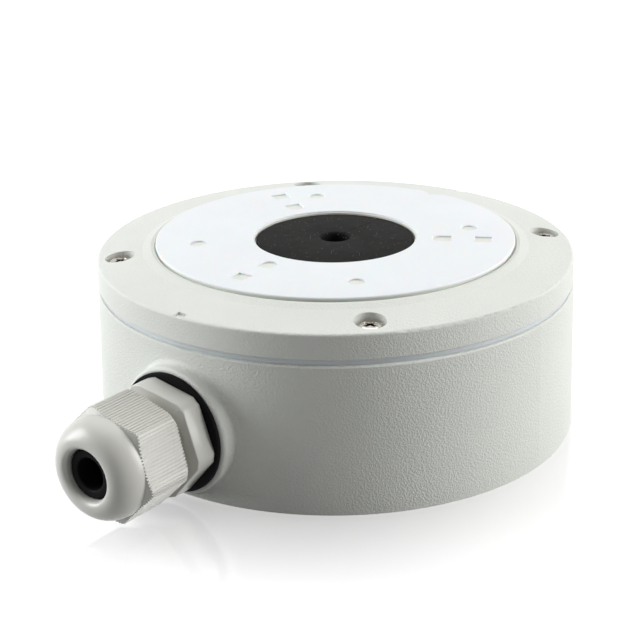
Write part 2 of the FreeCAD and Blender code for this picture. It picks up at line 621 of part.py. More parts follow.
def gland_body():
    """Nylon gland body: wall thread, hexagon, nut thread and the clamping claws."""
    hexagon_blank = hexagon(GLAND_HEX, HEX_START, HEX_END, GLAND_HEX_TURN)
    corner_radius = GLAND_HEX / 2 / math.cos(math.radians(30)) - GLAND_HEX_CORNER_CUT
    trimmer = hexagon(corner_radius * 2, HEX_START, HEX_END, GLAND_HEX_TURN + 30)
    hexagon_blank = hexagon_blank.common(trimmer).removeSplitter()
    hexagon_blank = hexagon_blank.makeFillet(GLAND_HEX_ROUND, hexagon_blank.Edges)
    thread_end = HEX_START - GLAND_THREAD_LENGTH
    hex_middle = HEX_START + GLAND_HEX_LENGTH / 2
    stem = turned([(0, thread_end, 0), (GLAND_THREAD_RADIUS, thread_end, GLAND_THREAD_ROUND),
                   (GLAND_THREAD_RADIUS, hex_middle, 0), (0, hex_middle, 0)])
    nose = turned([(0, hex_middle, 0), (NUT_THREAD_RADIUS, hex_middle, 0),
                   (NUT_THREAD_RADIUS, CLAW_START, 0), (CLAW_ROOT_RADIUS, CLAW_START, 0),
                   (CLAW_TIP_RADIUS, CLAW_END, CLAW_TIP_ROUND), (0, CLAW_END, 0)])
    body = hexagon_blank.multiFuse([stem, nose]).removeSplitter()
    body = body.cut(cylinder(GLAND_BORE_RADIUS, thread_end - OVERRUN, CLAW_END + OVERRUN))
    slot = box(CLAW_ROOT_RADIUS * 2, CLAW_SLOT, CLAW_START, CLAW_END + OVERRUN, CLAW_ROOT_RADIUS)
    for index in range(CLAW_COUNT):
        body = body.cut(turn_about_z(slot, 360 / CLAW_COUNT * index))
    return to_gland(body)


def ribbed_outline():
    """Points of the nut's outline: a hexagon with rounded corners and fine ribs all the way round."""
    flat = GLAND_HEX / 2
    half_flat_angle = math.acos(flat / NUT_CORNER_RADIUS)
    half_flat = flat * math.tan(half_flat_angle)
    corner_arc = NUT_CORNER_RADIUS * (math.radians(60) - 2 * half_flat_angle)
    side_length = 2 * half_flat + corner_arc
    ribs = round(side_length / NUT_RIB_PITCH)
    points = []
    for side in range(6):
        for step in range(2 * ribs):
            along = side_length * step / (2 * ribs)
            if along <= 2 * half_flat:
                across = along - half_flat
                radius = math.hypot(flat, across)
                angle = math.atan2(across, flat)
            else:
                radius = NUT_CORNER_RADIUS
                angle = half_flat_angle + (along - 2 * half_flat) / NUT_CORNER_RADIUS
            if step % 2:
                radius -= NUT_RIB_DEPTH
            turn = math.radians(NUT_TURN + 60 * side) + angle
            points.append(Vector(radius * math.cos(turn), radius * math.sin(turn), NUT_START))
    points.append(points[0])
    return points


def gland_nut():
    """Domed clamping nut with a ribbed hexagon."""
    ribbed = Part.Face(Part.makePolygon(ribbed_outline())).extrude(Vector(0, 0, NUT_RIBBED_LENGTH))
    flat = GLAND_HEX / 2 - NUT_DOME_INSET
    outermost = NUT_CORNER_RADIUS + NUT_REAR_CHAMFER
    limit = turned([(0, NUT_START, 0), (NUT_CORNER_RADIUS - NUT_REAR_CHAMFER, NUT_START, 0),
                    (outermost, NUT_START + 2 * NUT_REAR_CHAMFER, 0),
                    (outermost, NUT_SHOULDER - NUT_SHOULDER_LENGTH, 0), (flat, NUT_SHOULDER, 0),
                    (0, NUT_SHOULDER, 0)])
    dome_base = NUT_SHOULDER - NUT_DOME_OVERLAP
    dome = turned([(flat, dome_base, 0), (flat, NUT_TIP, NUT_DOME_ROUND),
                   (NUT_MOUTH_RADIUS, NUT_TIP, NUT_MOUTH_ROUND), (NUT_MOUTH_RADIUS, dome_base, 0)])
    nut = ribbed.common(limit).fuse(dome).removeSplitter()
    bore = NUT_THREAD_RADIUS + NUT_THREAD_CLEARANCE
    cone_end = NUT_TIP - NUT_MOUTH_LENGTH
    cone_start = cone_end - NUT_CONE_LENGTH
    inside = turned([(0, NUT_START - OVERRUN, 0), (bore, NUT_START - OVERRUN, 0), (bore, cone_start, 0),
                     (NUT_MOUTH_RADIUS, cone_end, 0), (NUT_MOUTH_RADIUS, cone_end + OVERRUN, 0),
                     (0, cone_end + OVERRUN, 0)])
    return to_gland(nut.cut(inside))


def gland_seal():
    """Black rubber sleeve that the claws press on the cable."""
    start = SEAL_END - SEAL_LENGTH
    nose_radius = NUT_MOUTH_RADIUS - SEAL_CLEARANCE
    nose_start = NUT_TIP - NUT_MOUTH_LENGTH - SEAL_NOSE_MARGIN
    return to_gland(turned([(SEAL_BORE_RADIUS, start, 0), (SEAL_RADIUS, start, SEAL_EDGE_ROUND),
                            (SEAL_RADIUS, nose_start - SEAL_TAPER_LENGTH, 0), (nose_radius, nose_start, 0),
                            (nose_radius, SEAL_END, SEAL_EDGE_ROUND),
                            (SEAL_BORE_RADIUS, SEAL_END, SEAL_MOUTH_ROUND)]))


os.makedirs("parts", exist_ok=True)
export("base_housing", base_housing())
export("lid", lid())
export("lid_gasket", lid_gasket())
export("mounting_pad", mounting_pad())
export("cable_grommet", cable_grommet())
for screw_index in range(len(SCREW_ANGLES)):
    export("lid_screw_" + str(screw_index + 1), lid_screw(screw_index))
    export("screw_retainer_" + str(screw_index + 1), screw_retainer(screw_index))
export("gland_washer", gland_washer())
export("gland_body", gland_body())
export("gland_nut", gland_nut())
export("gland_seal", gland_seal())
export("rear_entry_plug", rear_entry_plug())
export("earth_washer", earth_washer())
export("earth_screw", earth_screw())
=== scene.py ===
import logging
import math
from dataclasses import dataclass
from enum import Enum
from typing import Callable, Sequence

import bmesh
import bpy
from mathutils import Matrix, Vector


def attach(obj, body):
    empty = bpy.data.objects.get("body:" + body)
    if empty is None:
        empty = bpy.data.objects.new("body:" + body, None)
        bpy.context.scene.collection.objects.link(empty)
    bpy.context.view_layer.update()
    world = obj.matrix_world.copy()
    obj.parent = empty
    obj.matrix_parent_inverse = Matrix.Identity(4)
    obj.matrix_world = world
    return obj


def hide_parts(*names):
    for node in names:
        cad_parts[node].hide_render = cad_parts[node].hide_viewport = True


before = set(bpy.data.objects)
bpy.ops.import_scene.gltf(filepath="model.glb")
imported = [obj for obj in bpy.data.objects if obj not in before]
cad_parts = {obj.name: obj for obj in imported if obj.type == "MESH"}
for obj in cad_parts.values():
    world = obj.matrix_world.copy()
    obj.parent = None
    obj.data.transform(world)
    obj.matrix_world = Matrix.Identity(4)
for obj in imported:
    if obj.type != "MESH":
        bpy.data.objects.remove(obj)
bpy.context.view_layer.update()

LOG = logging.getLogger("junction_box")

MM = 0.001
FULL_TURN = 2 * math.pi
# Metres between two places that are taken for one.
TINY = 1e-6
# Millimetres by which a cutting tool stands out of the piece that it cuts.
SPARE = 1.0
# Millimetres within which a corner counts as lying on a face.
NEAR = 0.1
# The lid screws' circle, and where four or three things stand round the box, in degrees.
SCREW_CIRCLE = 61.0
QUARTERS = (45.0, 135.0, 225.0, 315.0)
THIRDS = (30.0, 150.0, 270.0)

Colour = tuple[float, float, float]
Corner = tuple[float, float, float]
Point = tuple[float, float]
Piece = bpy.types.Object
Material = bpy.types.Material
Socket = bpy.types.NodeSocket


# Modelling tools

class Element(Enum):
    """Kinds of mesh element that can be selected."""

    VERTEX = "VERT"
    EDGE = "EDGE"
    FACE = "FACE"


class Operation(Enum):
    """Ways in which one piece acts on another."""

    CUT = "DIFFERENCE"
    JOIN = "UNION"
    TRIM = "INTERSECT"


class Bench:
    """The modelling operators that every piece is made with. All its sizes are in millimetres."""

    @staticmethod
    def clear_selection() -> None:
        """Deselects every object, so that an operator acts only on its own piece."""
        if bpy.context.object is not None and bpy.context.object.mode != "OBJECT":
            bpy.ops.object.mode_set(mode="OBJECT")
        bpy.ops.object.select_all(action="DESELECT")

    @staticmethod
    def activate(piece: Piece) -> None:
        """Makes one piece the only selected and active object.

        Args:
            piece: The piece.
        """
        Bench.clear_selection()
        piece.select_set(True)
        bpy.context.view_layer.objects.active = piece

    @staticmethod
    def open_up(piece: Piece) -> None:
        """Opens one piece in edit mode with nothing selected.

        Args:
            piece: The piece.
        """
        Bench.activate(piece)
        bpy.ops.object.mode_set(mode="EDIT")
        bpy.ops.mesh.select_all(action="DESELECT")

    @staticmethod
    def select(piece: Piece, kind: Element, test: Callable[[object], bool]) -> None:
        """Selects vertices, edges or faces of the piece in edit mode, and nothing else.

        Args:
            piece: The piece that is open in edit mode.
            kind: Which kind of element is selected.
            test: Says whether an element is selected.
        """
        bpy.ops.mesh.select_mode(type=kind.value)
        bpy.ops.mesh.select_all(action="DESELECT")
        mesh = bmesh.from_edit_mesh(piece.data)
        elements = {Element.VERTEX: mesh.verts, Element.EDGE: mesh.edges, Element.FACE: mesh.faces}[kind]
        for element in elements:
            if test(element):
                element.select_set(True)
        mesh.select_flush_mode()
        bmesh.update_edit_mesh(piece.data)

    @staticmethod
    def apply_place(piece: Piece) -> None:
        """Moves the piece's place and turn into its mesh, so that its object sits at the origin."""
        Bench.activate(piece)
        bpy.ops.object.transform_apply(location=True, rotation=True, scale=True)

    @staticmethod
    def cylinder(name: str, radius: float, bottom: float, top: float, sides: int = 96,
                 place: Point = (0.0, 0.0), turn: float = 0.0) -> Piece:
        """Upright prism or cylinder.

        Args:
            name: The piece's name.
            radius: Radius to its corners.
            bottom: Height of its lower face.
            top: Height of its upper face.
            sides: Number of sides.
            place: Its axis in plan.
            turn: Turn about its own axis, in degrees.

        Returns:
            The new piece.
        """
        Bench.clear_selection()
        centre = (place[0] * MM, place[1] * MM, (bottom + top) / 2 * MM)
        bpy.ops.mesh.primitive_cylinder_add(vertices=sides, radius=radius * MM, depth=(top - bottom) * MM,
                                            location=centre, rotation=(0, 0, math.radians(turn)))
        piece = bpy.context.object
        piece.name = name
        Bench.apply_place(piece)
        return piece

    @staticmethod
    def block(name: str, low: Corner, high: Corner, turn: float = 0.0) -> Piece:
        """Box between two corners, then turned about the vertical axis through the origin.

        Args:
            name: The piece's name.
            low: Its lowest corner.
            high: Its highest corner.
            turn: The turn in degrees.

        Returns:
            The new piece.
        """
        Bench.clear_selection()
        bpy.ops.mesh.primitive_cube_add(size=1)
        piece = bpy.context.object
        piece.name = name
        piece.scale = [(b - a) * MM for a, b in zip(low, high)]
        piece.location = [(a + b) / 2 * MM for a, b in zip(low, high)]
        Bench.apply_place(piece)
        piece.rotation_euler.z = math.radians(turn)
        Bench.apply_place(piece)
        return piece

    @staticmethod
    def resize(piece: Piece, scale: Corner) -> None:
        """Scales what is selected in edit mode about the middle of its box.

        Args:
            piece: The piece that is open in edit mode.
            scale: The scale along each axis.
        """
        places = [v.co for v in bmesh.from_edit_mesh(piece.data).verts if v.select]
        low = Vector([min(place[axis] for place in places) for axis in range(3)])
        high = Vector([max(place[axis] for place in places) for axis in range(3)])
        bpy.ops.transform.resize(value=scale, center_override=(low + high) / 2)

    @staticmethod
    def taper(piece: Piece, test: Callable[[object], bool], scale: Corner) -> None:
        """Scales some vertices about their own middle.

        Args:
            piece: The piece.
            test: Says whether a vertex is scaled.
            scale: The scale along each axis.
        """
        Bench.open_up(piece)
        Bench.select(piece, Element.VERTEX, test)
        Bench.resize(piece, scale)
        Bench.close_up(piece)

    @staticmethod
    def flare(piece: Piece, top: float, rise: float, scale: float) -> None:
        """Raises a piece's upper face and widens it there.

        Args:
            piece: The piece.
            top: Height of its upper face.
            rise: How far the face is raised.
            scale: How much wider it gets.
        """
        Bench.open_up(piece)
        Bench.select(piece, Element.FACE, lambda f: all(abs(v.co.z - top * MM) < TINY for v in f.verts))
        bpy.ops.mesh.extrude_region_move(TRANSFORM_OT_translate={"value": (0, 0, rise * MM)})
        Bench.resize(piece, (scale, scale, 1.0))
        Bench.close_up(piece)

    @staticmethod
    def turned(name: str, corners: Sequence[Corner], steps: int = 128, arc: int = 5,
               closed: bool = True) -> Piece:
        """Turns a profile about the vertical axis, as on a lathe.

        Args:
            name: The piece's name.
            corners: Radius, height and rounding of each corner, in order.
            steps: Steps of the full turn.
            arc: Segments of each rounded corner.
            closed: Whether the outline closes on itself, away from the axis.

        Returns:
            The new piece.
        """
        Bench.clear_selection()
        bpy.ops.mesh.primitive_plane_add(size=MM)
        piece = bpy.context.object
        piece.name = name
        bpy.ops.object.mode_set(mode="EDIT")
        bpy.ops.mesh.select_mode(type="VERT")
        bpy.ops.mesh.select_all(action="SELECT")
        bpy.ops.mesh.merge(type="CENTER")
        places = [Vector((radius * MM, 0, height * MM)) for radius, height, _ in corners]
        bpy.ops.transform.translate(value=places[0])
        for here, following in zip(places, places[1:]):
            bpy.ops.mesh.extrude_region_move(TRANSFORM_OT_translate={"value": following - here})
        if closed:
            ends = (places[0], places[-1])
            Bench.select(piece, Element.VERTEX, lambda v: any((v.co - end).length < TINY for end in ends))
            bpy.ops.mesh.edge_face_add()
        Bench.round_corners(piece, corners, places, arc)
        bpy.ops.mesh.select_all(action="SELECT")
        bpy.ops.mesh.spin(steps=steps, angle=FULL_TURN, center=(0, 0, 0), axis=(0, 0, 1))
        Bench.close_up(piece)
        return piece

    @staticmethod
    def round_corners(piece: Piece, corners: Sequence[Corner], places: Sequence[Vector], arc: int) -> None:
        """Bevels each corner of the profile that has a rounding.

        Args:
            piece: The profile, open in edit mode.
            corners: Radius, height and rounding of each corner.
            places: The same corners' places in metres.
            arc: Segments of each rounded corner.
        """
        for index, (_, _, rounding) in enumerate(corners):
            if rounding <= 0:
                continue
            here = places[index]
            back = (places[index - 1] - here).normalized()
            ahead = (places[(index + 1) % len(places)] - here).normalized()
            reach = rounding * MM / math.tan(back.angle(ahead) / 2)
            Bench.select(piece, Element.VERTEX, lambda v: (v.co - here).length < TINY)
            bpy.ops.mesh.bevel(offset=reach, offset_type="OFFSET", segments=arc, profile=0.5,
                               affect="VERTICES", clamp_overlap=False)

    @staticmethod
    def ring(name: str, inner: float, outer: float, bottom: float, top: float, rounding: float = 0.0,
             steps: int = 96) -> Piece:
        """Flat ring whose four edges are rounded.

        Args:
            name: The piece's name.
            inner: Radius of its hole.
            outer: Its own radius.
            bottom: Height of its lower face.
            top: Height of its upper face.
            rounding: Radius of its edges.
            steps: Steps of the full turn.

        Returns:
            The new piece.
        """
        corners = [(inner, bottom, rounding), (outer, bottom, rounding), (outer, top, rounding),
                   (inner, top, rounding)]
        return Bench.turned(name, corners, steps, arc=3)

    @staticmethod
    def close_up(piece: Piece) -> None:
        """Merges doubles, turns every face outwards and leaves edit mode.

        Args:
            piece: The piece that is open in edit mode.
        """
        bpy.ops.mesh.select_mode(type="VERT")
        bpy.ops.mesh.select_all(action="SELECT")
        bpy.ops.mesh.remove_doubles(threshold=TINY)
        bpy.ops.mesh.normals_make_consistent(inside=False)
        bpy.ops.object.mode_set(mode="OBJECT")

    @staticmethod
    def combine(piece: Piece, tool: Piece, operation: Operation) -> None:
        """Cuts, joins or trims a piece with another one, which is used up.

        Args:
            piece: The piece that is kept.
            tool: The piece that is used up.
            operation: What the tool does to the piece.
        """
        Bench.activate(piece)
        modifier = piece.modifiers.new("combine", "BOOLEAN")
        modifier.operation = operation.value
        modifier.solver = "EXACT"
        modifier.object = tool
        bpy.ops.object.modifier_apply(modifier=modifier.name)
        bpy.data.objects.remove(tool)

    @staticmethod
    def bevel_uprights(piece: Piece, reach: float, segments: int) -> None:
        """Bevels the upright edges of a prism.

        Args:
            piece: The prism.
            reach: How far the bevel reaches along the sides.
            segments: Segments of each bevel.
        """
        Bench.open_up(piece)
        Bench.select(piece, Element.EDGE, lambda e: abs(e.verts[0].co.z - e.verts[1].co.z) > MM)
        bpy.ops.mesh.bevel(offset=reach * MM, offset_type="OFFSET", segments=segments, profile=0.5,
                           affect="EDGES", clamp_overlap=False)
        Bench.close_up(piece)

    @staticmethod
    def soften(piece: Piece, width: float, segments: int = 2, angle: float = 35.0) -> None:
        """Rounds every sharp edge.

        Args:
            piece: The piece.
            width: Width of the rounding.
            segments: Its segments.
            angle: How sharp an edge has to be, in degrees.
        """
        Bench.activate(piece)
        modifier = piece.modifiers.new("soften", "BEVEL")
        modifier.width = width * MM
        modifier.segments = segments
        modifier.limit_method = "ANGLE"
        modifier.angle_limit = math.radians(angle)
        modifier.use_clamp_overlap = True
        bpy.ops.object.modifier_apply(modifier=modifier.name)

    @staticmethod
    def copy_of(piece: Piece, name: str, place: Corner, turn: float = 0.0) -> Piece:
        """Copies a piece with its own mesh, turned about its axis and then moved.

        Args:
            piece: The piece that is copied.
            name: The copy's name.
            place: How far it is moved.
            turn: The turn in degrees.

        Returns:
            The copy.
        """
        twin = piece.copy()
        twin.data = piece.data.copy()
        twin.name = name
        bpy.context.scene.collection.objects.link(twin)
        twin.rotation_euler.z = math.radians(turn)
        twin.location = [value * MM for value in place]
        Bench.apply_place(twin)
        return twin

    @staticmethod
    def smooth(piece: Piece, angle: float = 30.0) -> None:
        """Shades the piece smooth, apart from edges sharper than an angle in degrees."""
        Bench.activate(piece)
        bpy.ops.object.shade_smooth_by_angle(angle=math.radians(angle))


def thread_profile(crest: float, root: float, start: float, end: float, pitch: float) -> list[Corner]:
    """Ridges of a thread along a profile.

    Args:
        crest: Radius of the ridges.
        root: Radius between the ridges.
        start: Where the thread starts along the axis.
        end: Where it ends.
        pitch: About how far apart the ridges are.

    Returns:
        The profile's corners, from start to end.
    """
    rise, flat, fall = 0.20, 0.45, 0.75
    count = round((end - start) / pitch)
    step = (end - start) / count
    corners = []
    for index in range(count):
        low = start + index * step
        corners.append((root, low, 0.0))
        corners.append((root, low + rise * step, 0.0))
        corners.append((crest, low + flat * step, 0.0))
        corners.append((crest, low + fall * step, 0.0))
    corners.append((root, end, 0.0))
    return corners


def arc_profile(centre: Point, reach: Point, first: float, last: float, steps: int) -> list[Corner]:
    """Part of an ellipse along a profile.

    Args:
        centre: Radius and height of the ellipse's centre.
        reach: Its half axes, outwards and upwards.
        first: Angle of its first point in degrees, 0 outwards and 90 upwards.
        last: Angle of its last point.
        steps: Steps between the two.

    Returns:
        The profile's corners.
    """
    corners = []
    for step in range(steps + 1):
        angle = math.radians(first + (last - first) * step / steps)
        corners.append((centre[0] + reach[0] * math.cos(angle), centre[1] + reach[1] * math.sin(angle), 0.0))
    return corners


def on_circle(radius: float, angle: float) -> Point:
    """Point in plan on a circle about the box's axis, at an angle in degrees."""
    return radius * math.cos(math.radians(angle)), radius * math.sin(math.radians(angle))


# Finishes

class Board:
    """A material's node tree, with short ways to add and join its nodes."""

    def __init__(self, name: str) -> None:
        """Makes the material with its own shader.

        Args:
            name: The material's name.
        """
        self.material = bpy.data.materials.new(name)
        self.material.use_nodes = True
        self.tree = self.material.node_tree
        self.shader = self.tree.nodes["Principled BSDF"]
        self.output = self.tree.nodes["Material Output"]
        self.place = self.add("ShaderNodeTexCoord").outputs["Object"]

    def add(self, kind: str, **settings: object) -> bpy.types.Node:
        """Adds a node.

        Args:
            kind: Blender's name for it.
            **settings: The node's own settings.

        Returns:
            The node.
        """
        node = self.tree.nodes.new(kind)
        for key, value in settings.items():
            setattr(node, key, value)
        return node

    def join(self, source: Socket, target: Socket) -> None:
        """Links one socket to another."""
        self.tree.links.new(source, target)

    def noise(self, scale: float, detail: float = 2.0) -> Socket:
        """Noise over the piece.

        Args:
            scale: Its features per metre.
            detail: Octaves of finer noise in it.

        Returns:
            A value between 0 and 1.
        """
        node = self.add("ShaderNodeTexNoise")
        node.inputs["Scale"].default_value = scale
        node.inputs["Detail"].default_value = detail
        self.join(self.place, node.inputs["Vector"])
        return node.outputs["Fac"]

    def cells(self, scale: float, feature: str = "SMOOTH_F1") -> Socket:
        """Distance to the nearest cell centre.

        Args:
            scale: Cells per metre.
            feature: Blender's name for the kind of distance.

        Returns:
            The distance, in cells.
        """
        node = self.add("ShaderNodeTexVoronoi", feature=feature)
        node.inputs["Scale"].default_value = scale
        self.join(self.place, node.inputs["Vector"])
        return node.outputs["Distance"]

    def ramp(self, value: Socket, levels: Point, low_colour: Colour, high_colour: Colour) -> Socket:
        """Colour that runs between two colours while a value runs between two levels.

        Args:
            value: The value.
            levels: The two levels.
            low_colour: Colour at the lower level.
            high_colour: Colour at the higher level.

        Returns:
            The colour.
        """
        node = self.add("ShaderNodeValToRGB")
        colours = (low_colour, high_colour)
        for element, level, colour in zip(node.color_ramp.elements, levels, colours):
            element.position = level
            element.color = (*colour, 1.0)
        self.join(value, node.inputs["Fac"])
        return node.outputs["Color"]

    def mottle(self, colour: Colour, shade: float, scale: float, detail: float = 2.0,
               spread: float = 0.2) -> Socket:
        """Colour in soft patches.

        Args:
            colour: The finish's colour.
            shade: The darker patches' share of it.
            scale: Patches per metre.
            detail: Octaves of finer noise in them.
            spread: How far either side of one half the noise runs between the two.

        Returns:
            The colour.
        """
        darker: Colour = tuple(shade * part for part in colour)
        return self.ramp(self.noise(scale, detail), (0.5 - spread, 0.5 + spread), darker, colour)

    def tint(self, colour: Socket) -> None:
        """Gives the shader its colour."""
        self.join(colour, self.shader.inputs["Base Color"])

    def sheen(self, roughness: Point, scale: float, detail: float = 3.0) -> None:
        """Gives the shader an uneven roughness.

        Args:
            roughness: The least and the most of it.
            scale: Patches per metre.
            detail: Octaves of finer noise in them.
        """
        node = self.add("ShaderNodeMapRange")
        node.inputs["To Min"].default_value, node.inputs["To Max"].default_value = roughness
        self.join(self.noise(scale, detail), node.inputs["Value"])
        self.join(node.outputs["Result"], self.shader.inputs["Roughness"])

    def maths(self, operation: str, first: Socket | float, second: Socket | float = 0.0) -> Socket:
        """One sum.

        Args:
            operation: Blender's name for it.
            first: Its first value, a socket or a number.
            second: Its second value, where it has one.

        Returns:
            The result.
        """
        node = self.add("ShaderNodeMath", operation=operation)
        for index, value in enumerate((first, second)):
            if isinstance(value, (int, float)):
                node.inputs[index].default_value = value
            else:
                self.join(value, node.inputs[index])
        return node.outputs["Value"]

    def bump(self, height: Socket, depth: float) -> None:
        """Bumps the surface.

        Args:
            height: The pattern.
            depth: Its depth in millimetres.
        """
        node = self.add("ShaderNodeBump")
        node.inputs["Strength"].default_value = 1.0
        node.inputs["Distance"].default_value = depth * MM
        self.join(height, node.inputs["Height"])
        self.join(node.outputs["Normal"], self.shader.inputs["Normal"])

    def set(self, **values: object) -> None:
        """Sets the shader's own sockets, named with underscores for spaces."""
        for key, value in values.items():
            self.shader.inputs[key.replace("_", " ")].default_value = value


class Finish:
    """What every finish shares."""

    def build(self, name: str) -> Material:
        """Makes the material.

        Args:
            name: Its name.

        Returns:
            The material.
        """
        board = Board(name)
        self.paint(board)
        return board.material

    def paint(self, board: Board) -> None:
        """Adds the finish's own nodes to the material's board."""
        raise NotImplementedError


@dataclass(frozen=True)
class PowderCoat(Finish):
    """Pale grey powder coat with a fine leather-like grain."""

    colour: Colour = (0.735, 0.750, 0.705)
    shade: float = 0.97
    patches: float = 35.0
    gloss: float = 0.3
    roughness: Point = (0.43, 0.55)
    sheen_patches: float = 400.0
    grain: float = 1900.0
    grain_share: float = 0.8
    grain_depth: float = 0.16
    pore: float = 3800.0
    pore_share: float = 0.9

    def paint(self, board: Board) -> None:
        """Adds soft patches, an uneven sheen, and a grain of cells and pores.

        Args:
            board: The material's board.
        """
        board.tint(board.mottle(self.colour, self.shade, self.patches, spread=0.15))
        board.sheen(self.roughness, self.sheen_patches, detail=2.0)
        board.set(Specular_IOR_Level=self.gloss)
        coarse = board.maths("MULTIPLY", board.cells(self.grain), self.grain_share)
        fine = board.maths("MULTIPLY", board.noise(self.pore, detail=3.0), self.pore_share)
        board.bump(board.maths("ADD", coarse, fine), self.grain_depth)


@dataclass(frozen=True)
class PadSheet(Finish):
    """Cool white closed-cell sheet, matt and very slightly mottled."""

    colour: Colour = (0.805, 0.815, 0.832)
    shade: float = 0.975
    patches: float = 60.0
    roughness: float = 0.62
    light_inside: float = 0.25
    light_depth: float = 0.0015
    skin: float = 2200.0
    skin_depth: float = 0.02

    def paint(self, board: Board) -> None:
        """Adds a faint mottle, a little light under the skin and a fine skin.

        Args:
            board: The material's board.
        """
        board.tint(board.mottle(self.colour, self.shade, self.patches))
        board.set(Roughness=self.roughness, Subsurface_Weight=self.light_inside,
                  Subsurface_Scale=self.light_depth)
        board.bump(board.noise(self.skin, detail=4.0), self.skin_depth)


@dataclass(frozen=True)
class DullRubber(Finish):
    """Dull black rubber, with fine specks of dust where dust is above zero."""

    colour: Colour = (0.017, 0.0165, 0.016)
    wear: float = 1.25
    patches: float = 180.0
    patch_levels: Point = (0.3, 0.75)
    roughness: Point = (0.47, 0.65)
    sheen_patches: float = 300.0
    gloss: float = 0.02
    dust: float = 0.0
    dust_colour: Colour = (0.34, 0.32, 0.29)
    dust_patches: float = 150.0
    specks: float = 900.0
    skin: float = 1600.0
    skin_depth: float = 0.02

    def paint(self, board: Board) -> None:
        """Adds worn patches, dust, an uneven sheen and a fine skin.

        Args:
            board: The material's board.
        """
        worn: Colour = tuple(self.wear * part for part in self.colour)
        base = board.ramp(board.noise(self.patches, detail=4.0), self.patch_levels, self.colour, worn)
        if self.dust > 0:
            size = board.maths("MULTIPLY", board.noise(self.dust_patches), self.dust)
            mix = board.add("ShaderNodeMix", data_type="RGBA")
            board.join(board.maths("LESS_THAN", board.cells(self.specks, "F1"), size), mix.inputs["Factor"])
            board.join(base, mix.inputs["A"])
            mix.inputs["B"].default_value = (*self.dust_colour, 1.0)
            base = mix.outputs["Result"]
        board.tint(base)
        board.sheen(self.roughness, self.sheen_patches)
        board.set(Specular_IOR_Level=self.gloss)
        board.bump(board.noise(self.skin, detail=4.0), self.skin_depth)


@dataclass(frozen=True)
class ClearSilicone(Finish):
    """Milky bluish silicone sheet that lets some light through."""

    colour: Colour = (0.70, 0.725, 0.75)
    shade: float = 0.9
    clouds: float = 90.0
    roughness: float = 0.32
    light_inside: float = 0.35
    light_depth: float = 0.0015
    waves: float = 900.0
    wave_depth: float = 0.015

    def paint(self, board: Board) -> None:
        """Adds cloudy patches, light under the skin and soft waves.

        Args:
            board: The material's board.
        """
        board.tint(board.mottle(self.colour, self.shade, self.clouds))
        board.set(Roughness=self.roughness, Subsurface_Weight=self.light_inside,
                  Subsurface_Scale=self.light_depth)
        board.bump(board.noise(self.waves), self.wave_depth)


@dataclass(frozen=True)
class MouldedNylon(Finish):
    """Glossy moulded nylon, slightly waxy, with faint flow marks."""

    colour: Colour = (0.600, 0.594, 0.552)
    shade: float = 0.985
    patches: float = 70.0
    roughness: Point = (0.28, 0.34)
    sheen_patches: float = 250.0
    index: float = 1.48
    flow: float = 700.0
    flow_depth: float = 0.008

    def paint(self, board: Board) -> None:
        """Adds faint patches, an uneven sheen and flow marks.

        Args:
            board: The material's board.
        """
        board.tint(board.mottle(self.colour, self.shade, self.patches, detail=3.0))
        board.sheen(self.roughness, self.sheen_patches)
        board.set(IOR=self.index)
        board.bump(board.noise(self.flow, detail=3.0), self.flow_depth)


@dataclass(frozen=True)
class NickelSteel(Finish):
    """Bright nickel-plated steel with faint turning and handling marks, and shade painted into the lid
    screws' recesses.
    """

    colour: Colour = (0.60, 0.57, 0.52)
    shade: float = 0.7
    patches: float = 700.0
    roughness: Point = (0.12, 0.36)
    sheen_patches: float = 1500.0
    marks: float = 1200.0
    mark_depth: float = 0.01
    # Where the shade painted into the lid screws' recesses lies, and how dark it is.
    recess_place: float = 43.134
    recess_reach: float = 2.4
    recess_middle: float = 48.6
    recess_half: float = 0.7
    painted_shade_strength: float = 0.93

    def painted_recess_shade(self, board: Board) -> Socket:
        """Paints shade into the recesses of the four lid screws, which it finds by their places in plan and
        their height.

        Args:
            board: The material's board.

        Returns:
            A painted shade: low in a recess, and 1 elsewhere.
        """
        parts = board.add("ShaderNodeSeparateXYZ")
        board.join(board.place, parts.inputs["Vector"])
        squares = []
        for axis in "XY":
            side = board.maths("SUBTRACT", board.maths("ABSOLUTE", parts.outputs[axis]),
                               self.recess_place * MM)
            squares.append(board.maths("MULTIPLY", side, side))
        reach = board.maths("SQRT", board.maths("ADD", *squares))
        inside = board.maths("LESS_THAN", reach, self.recess_reach * MM)
        height = board.maths("SUBTRACT", parts.outputs["Z"], self.recess_middle * MM)
        level = board.maths("LESS_THAN", board.maths("ABSOLUTE", height), self.recess_half * MM)
        in_painted_shade = board.maths("MULTIPLY", inside, level)
        return board.maths("SUBTRACT", 1.0, board.maths("MULTIPLY", in_painted_shade, self.painted_shade_strength))

    def paint(self, board: Board) -> None:
        """Adds dull patches, shade painted into the recesses, an uneven sheen and fine marks.

        Args:
            board: The material's board.
        """
        shaded = board.add("ShaderNodeVectorMath", operation="SCALE")
        patches = board.mottle(self.colour, self.shade, self.patches, detail=4.0, spread=0.15)
        board.join(patches, shaded.inputs["Vector"])
        # Painted shade darkens the colour in the lid screws' recesses.
        board.join(self.painted_recess_shade(board), shaded.inputs["Scale"])
        board.tint(shaded.outputs["Vector"])
        board.sheen(self.roughness, self.sheen_patches)
        board.set(Metallic=1.0)
        board.bump(board.noise(self.marks, detail=4.0), self.mark_depth)


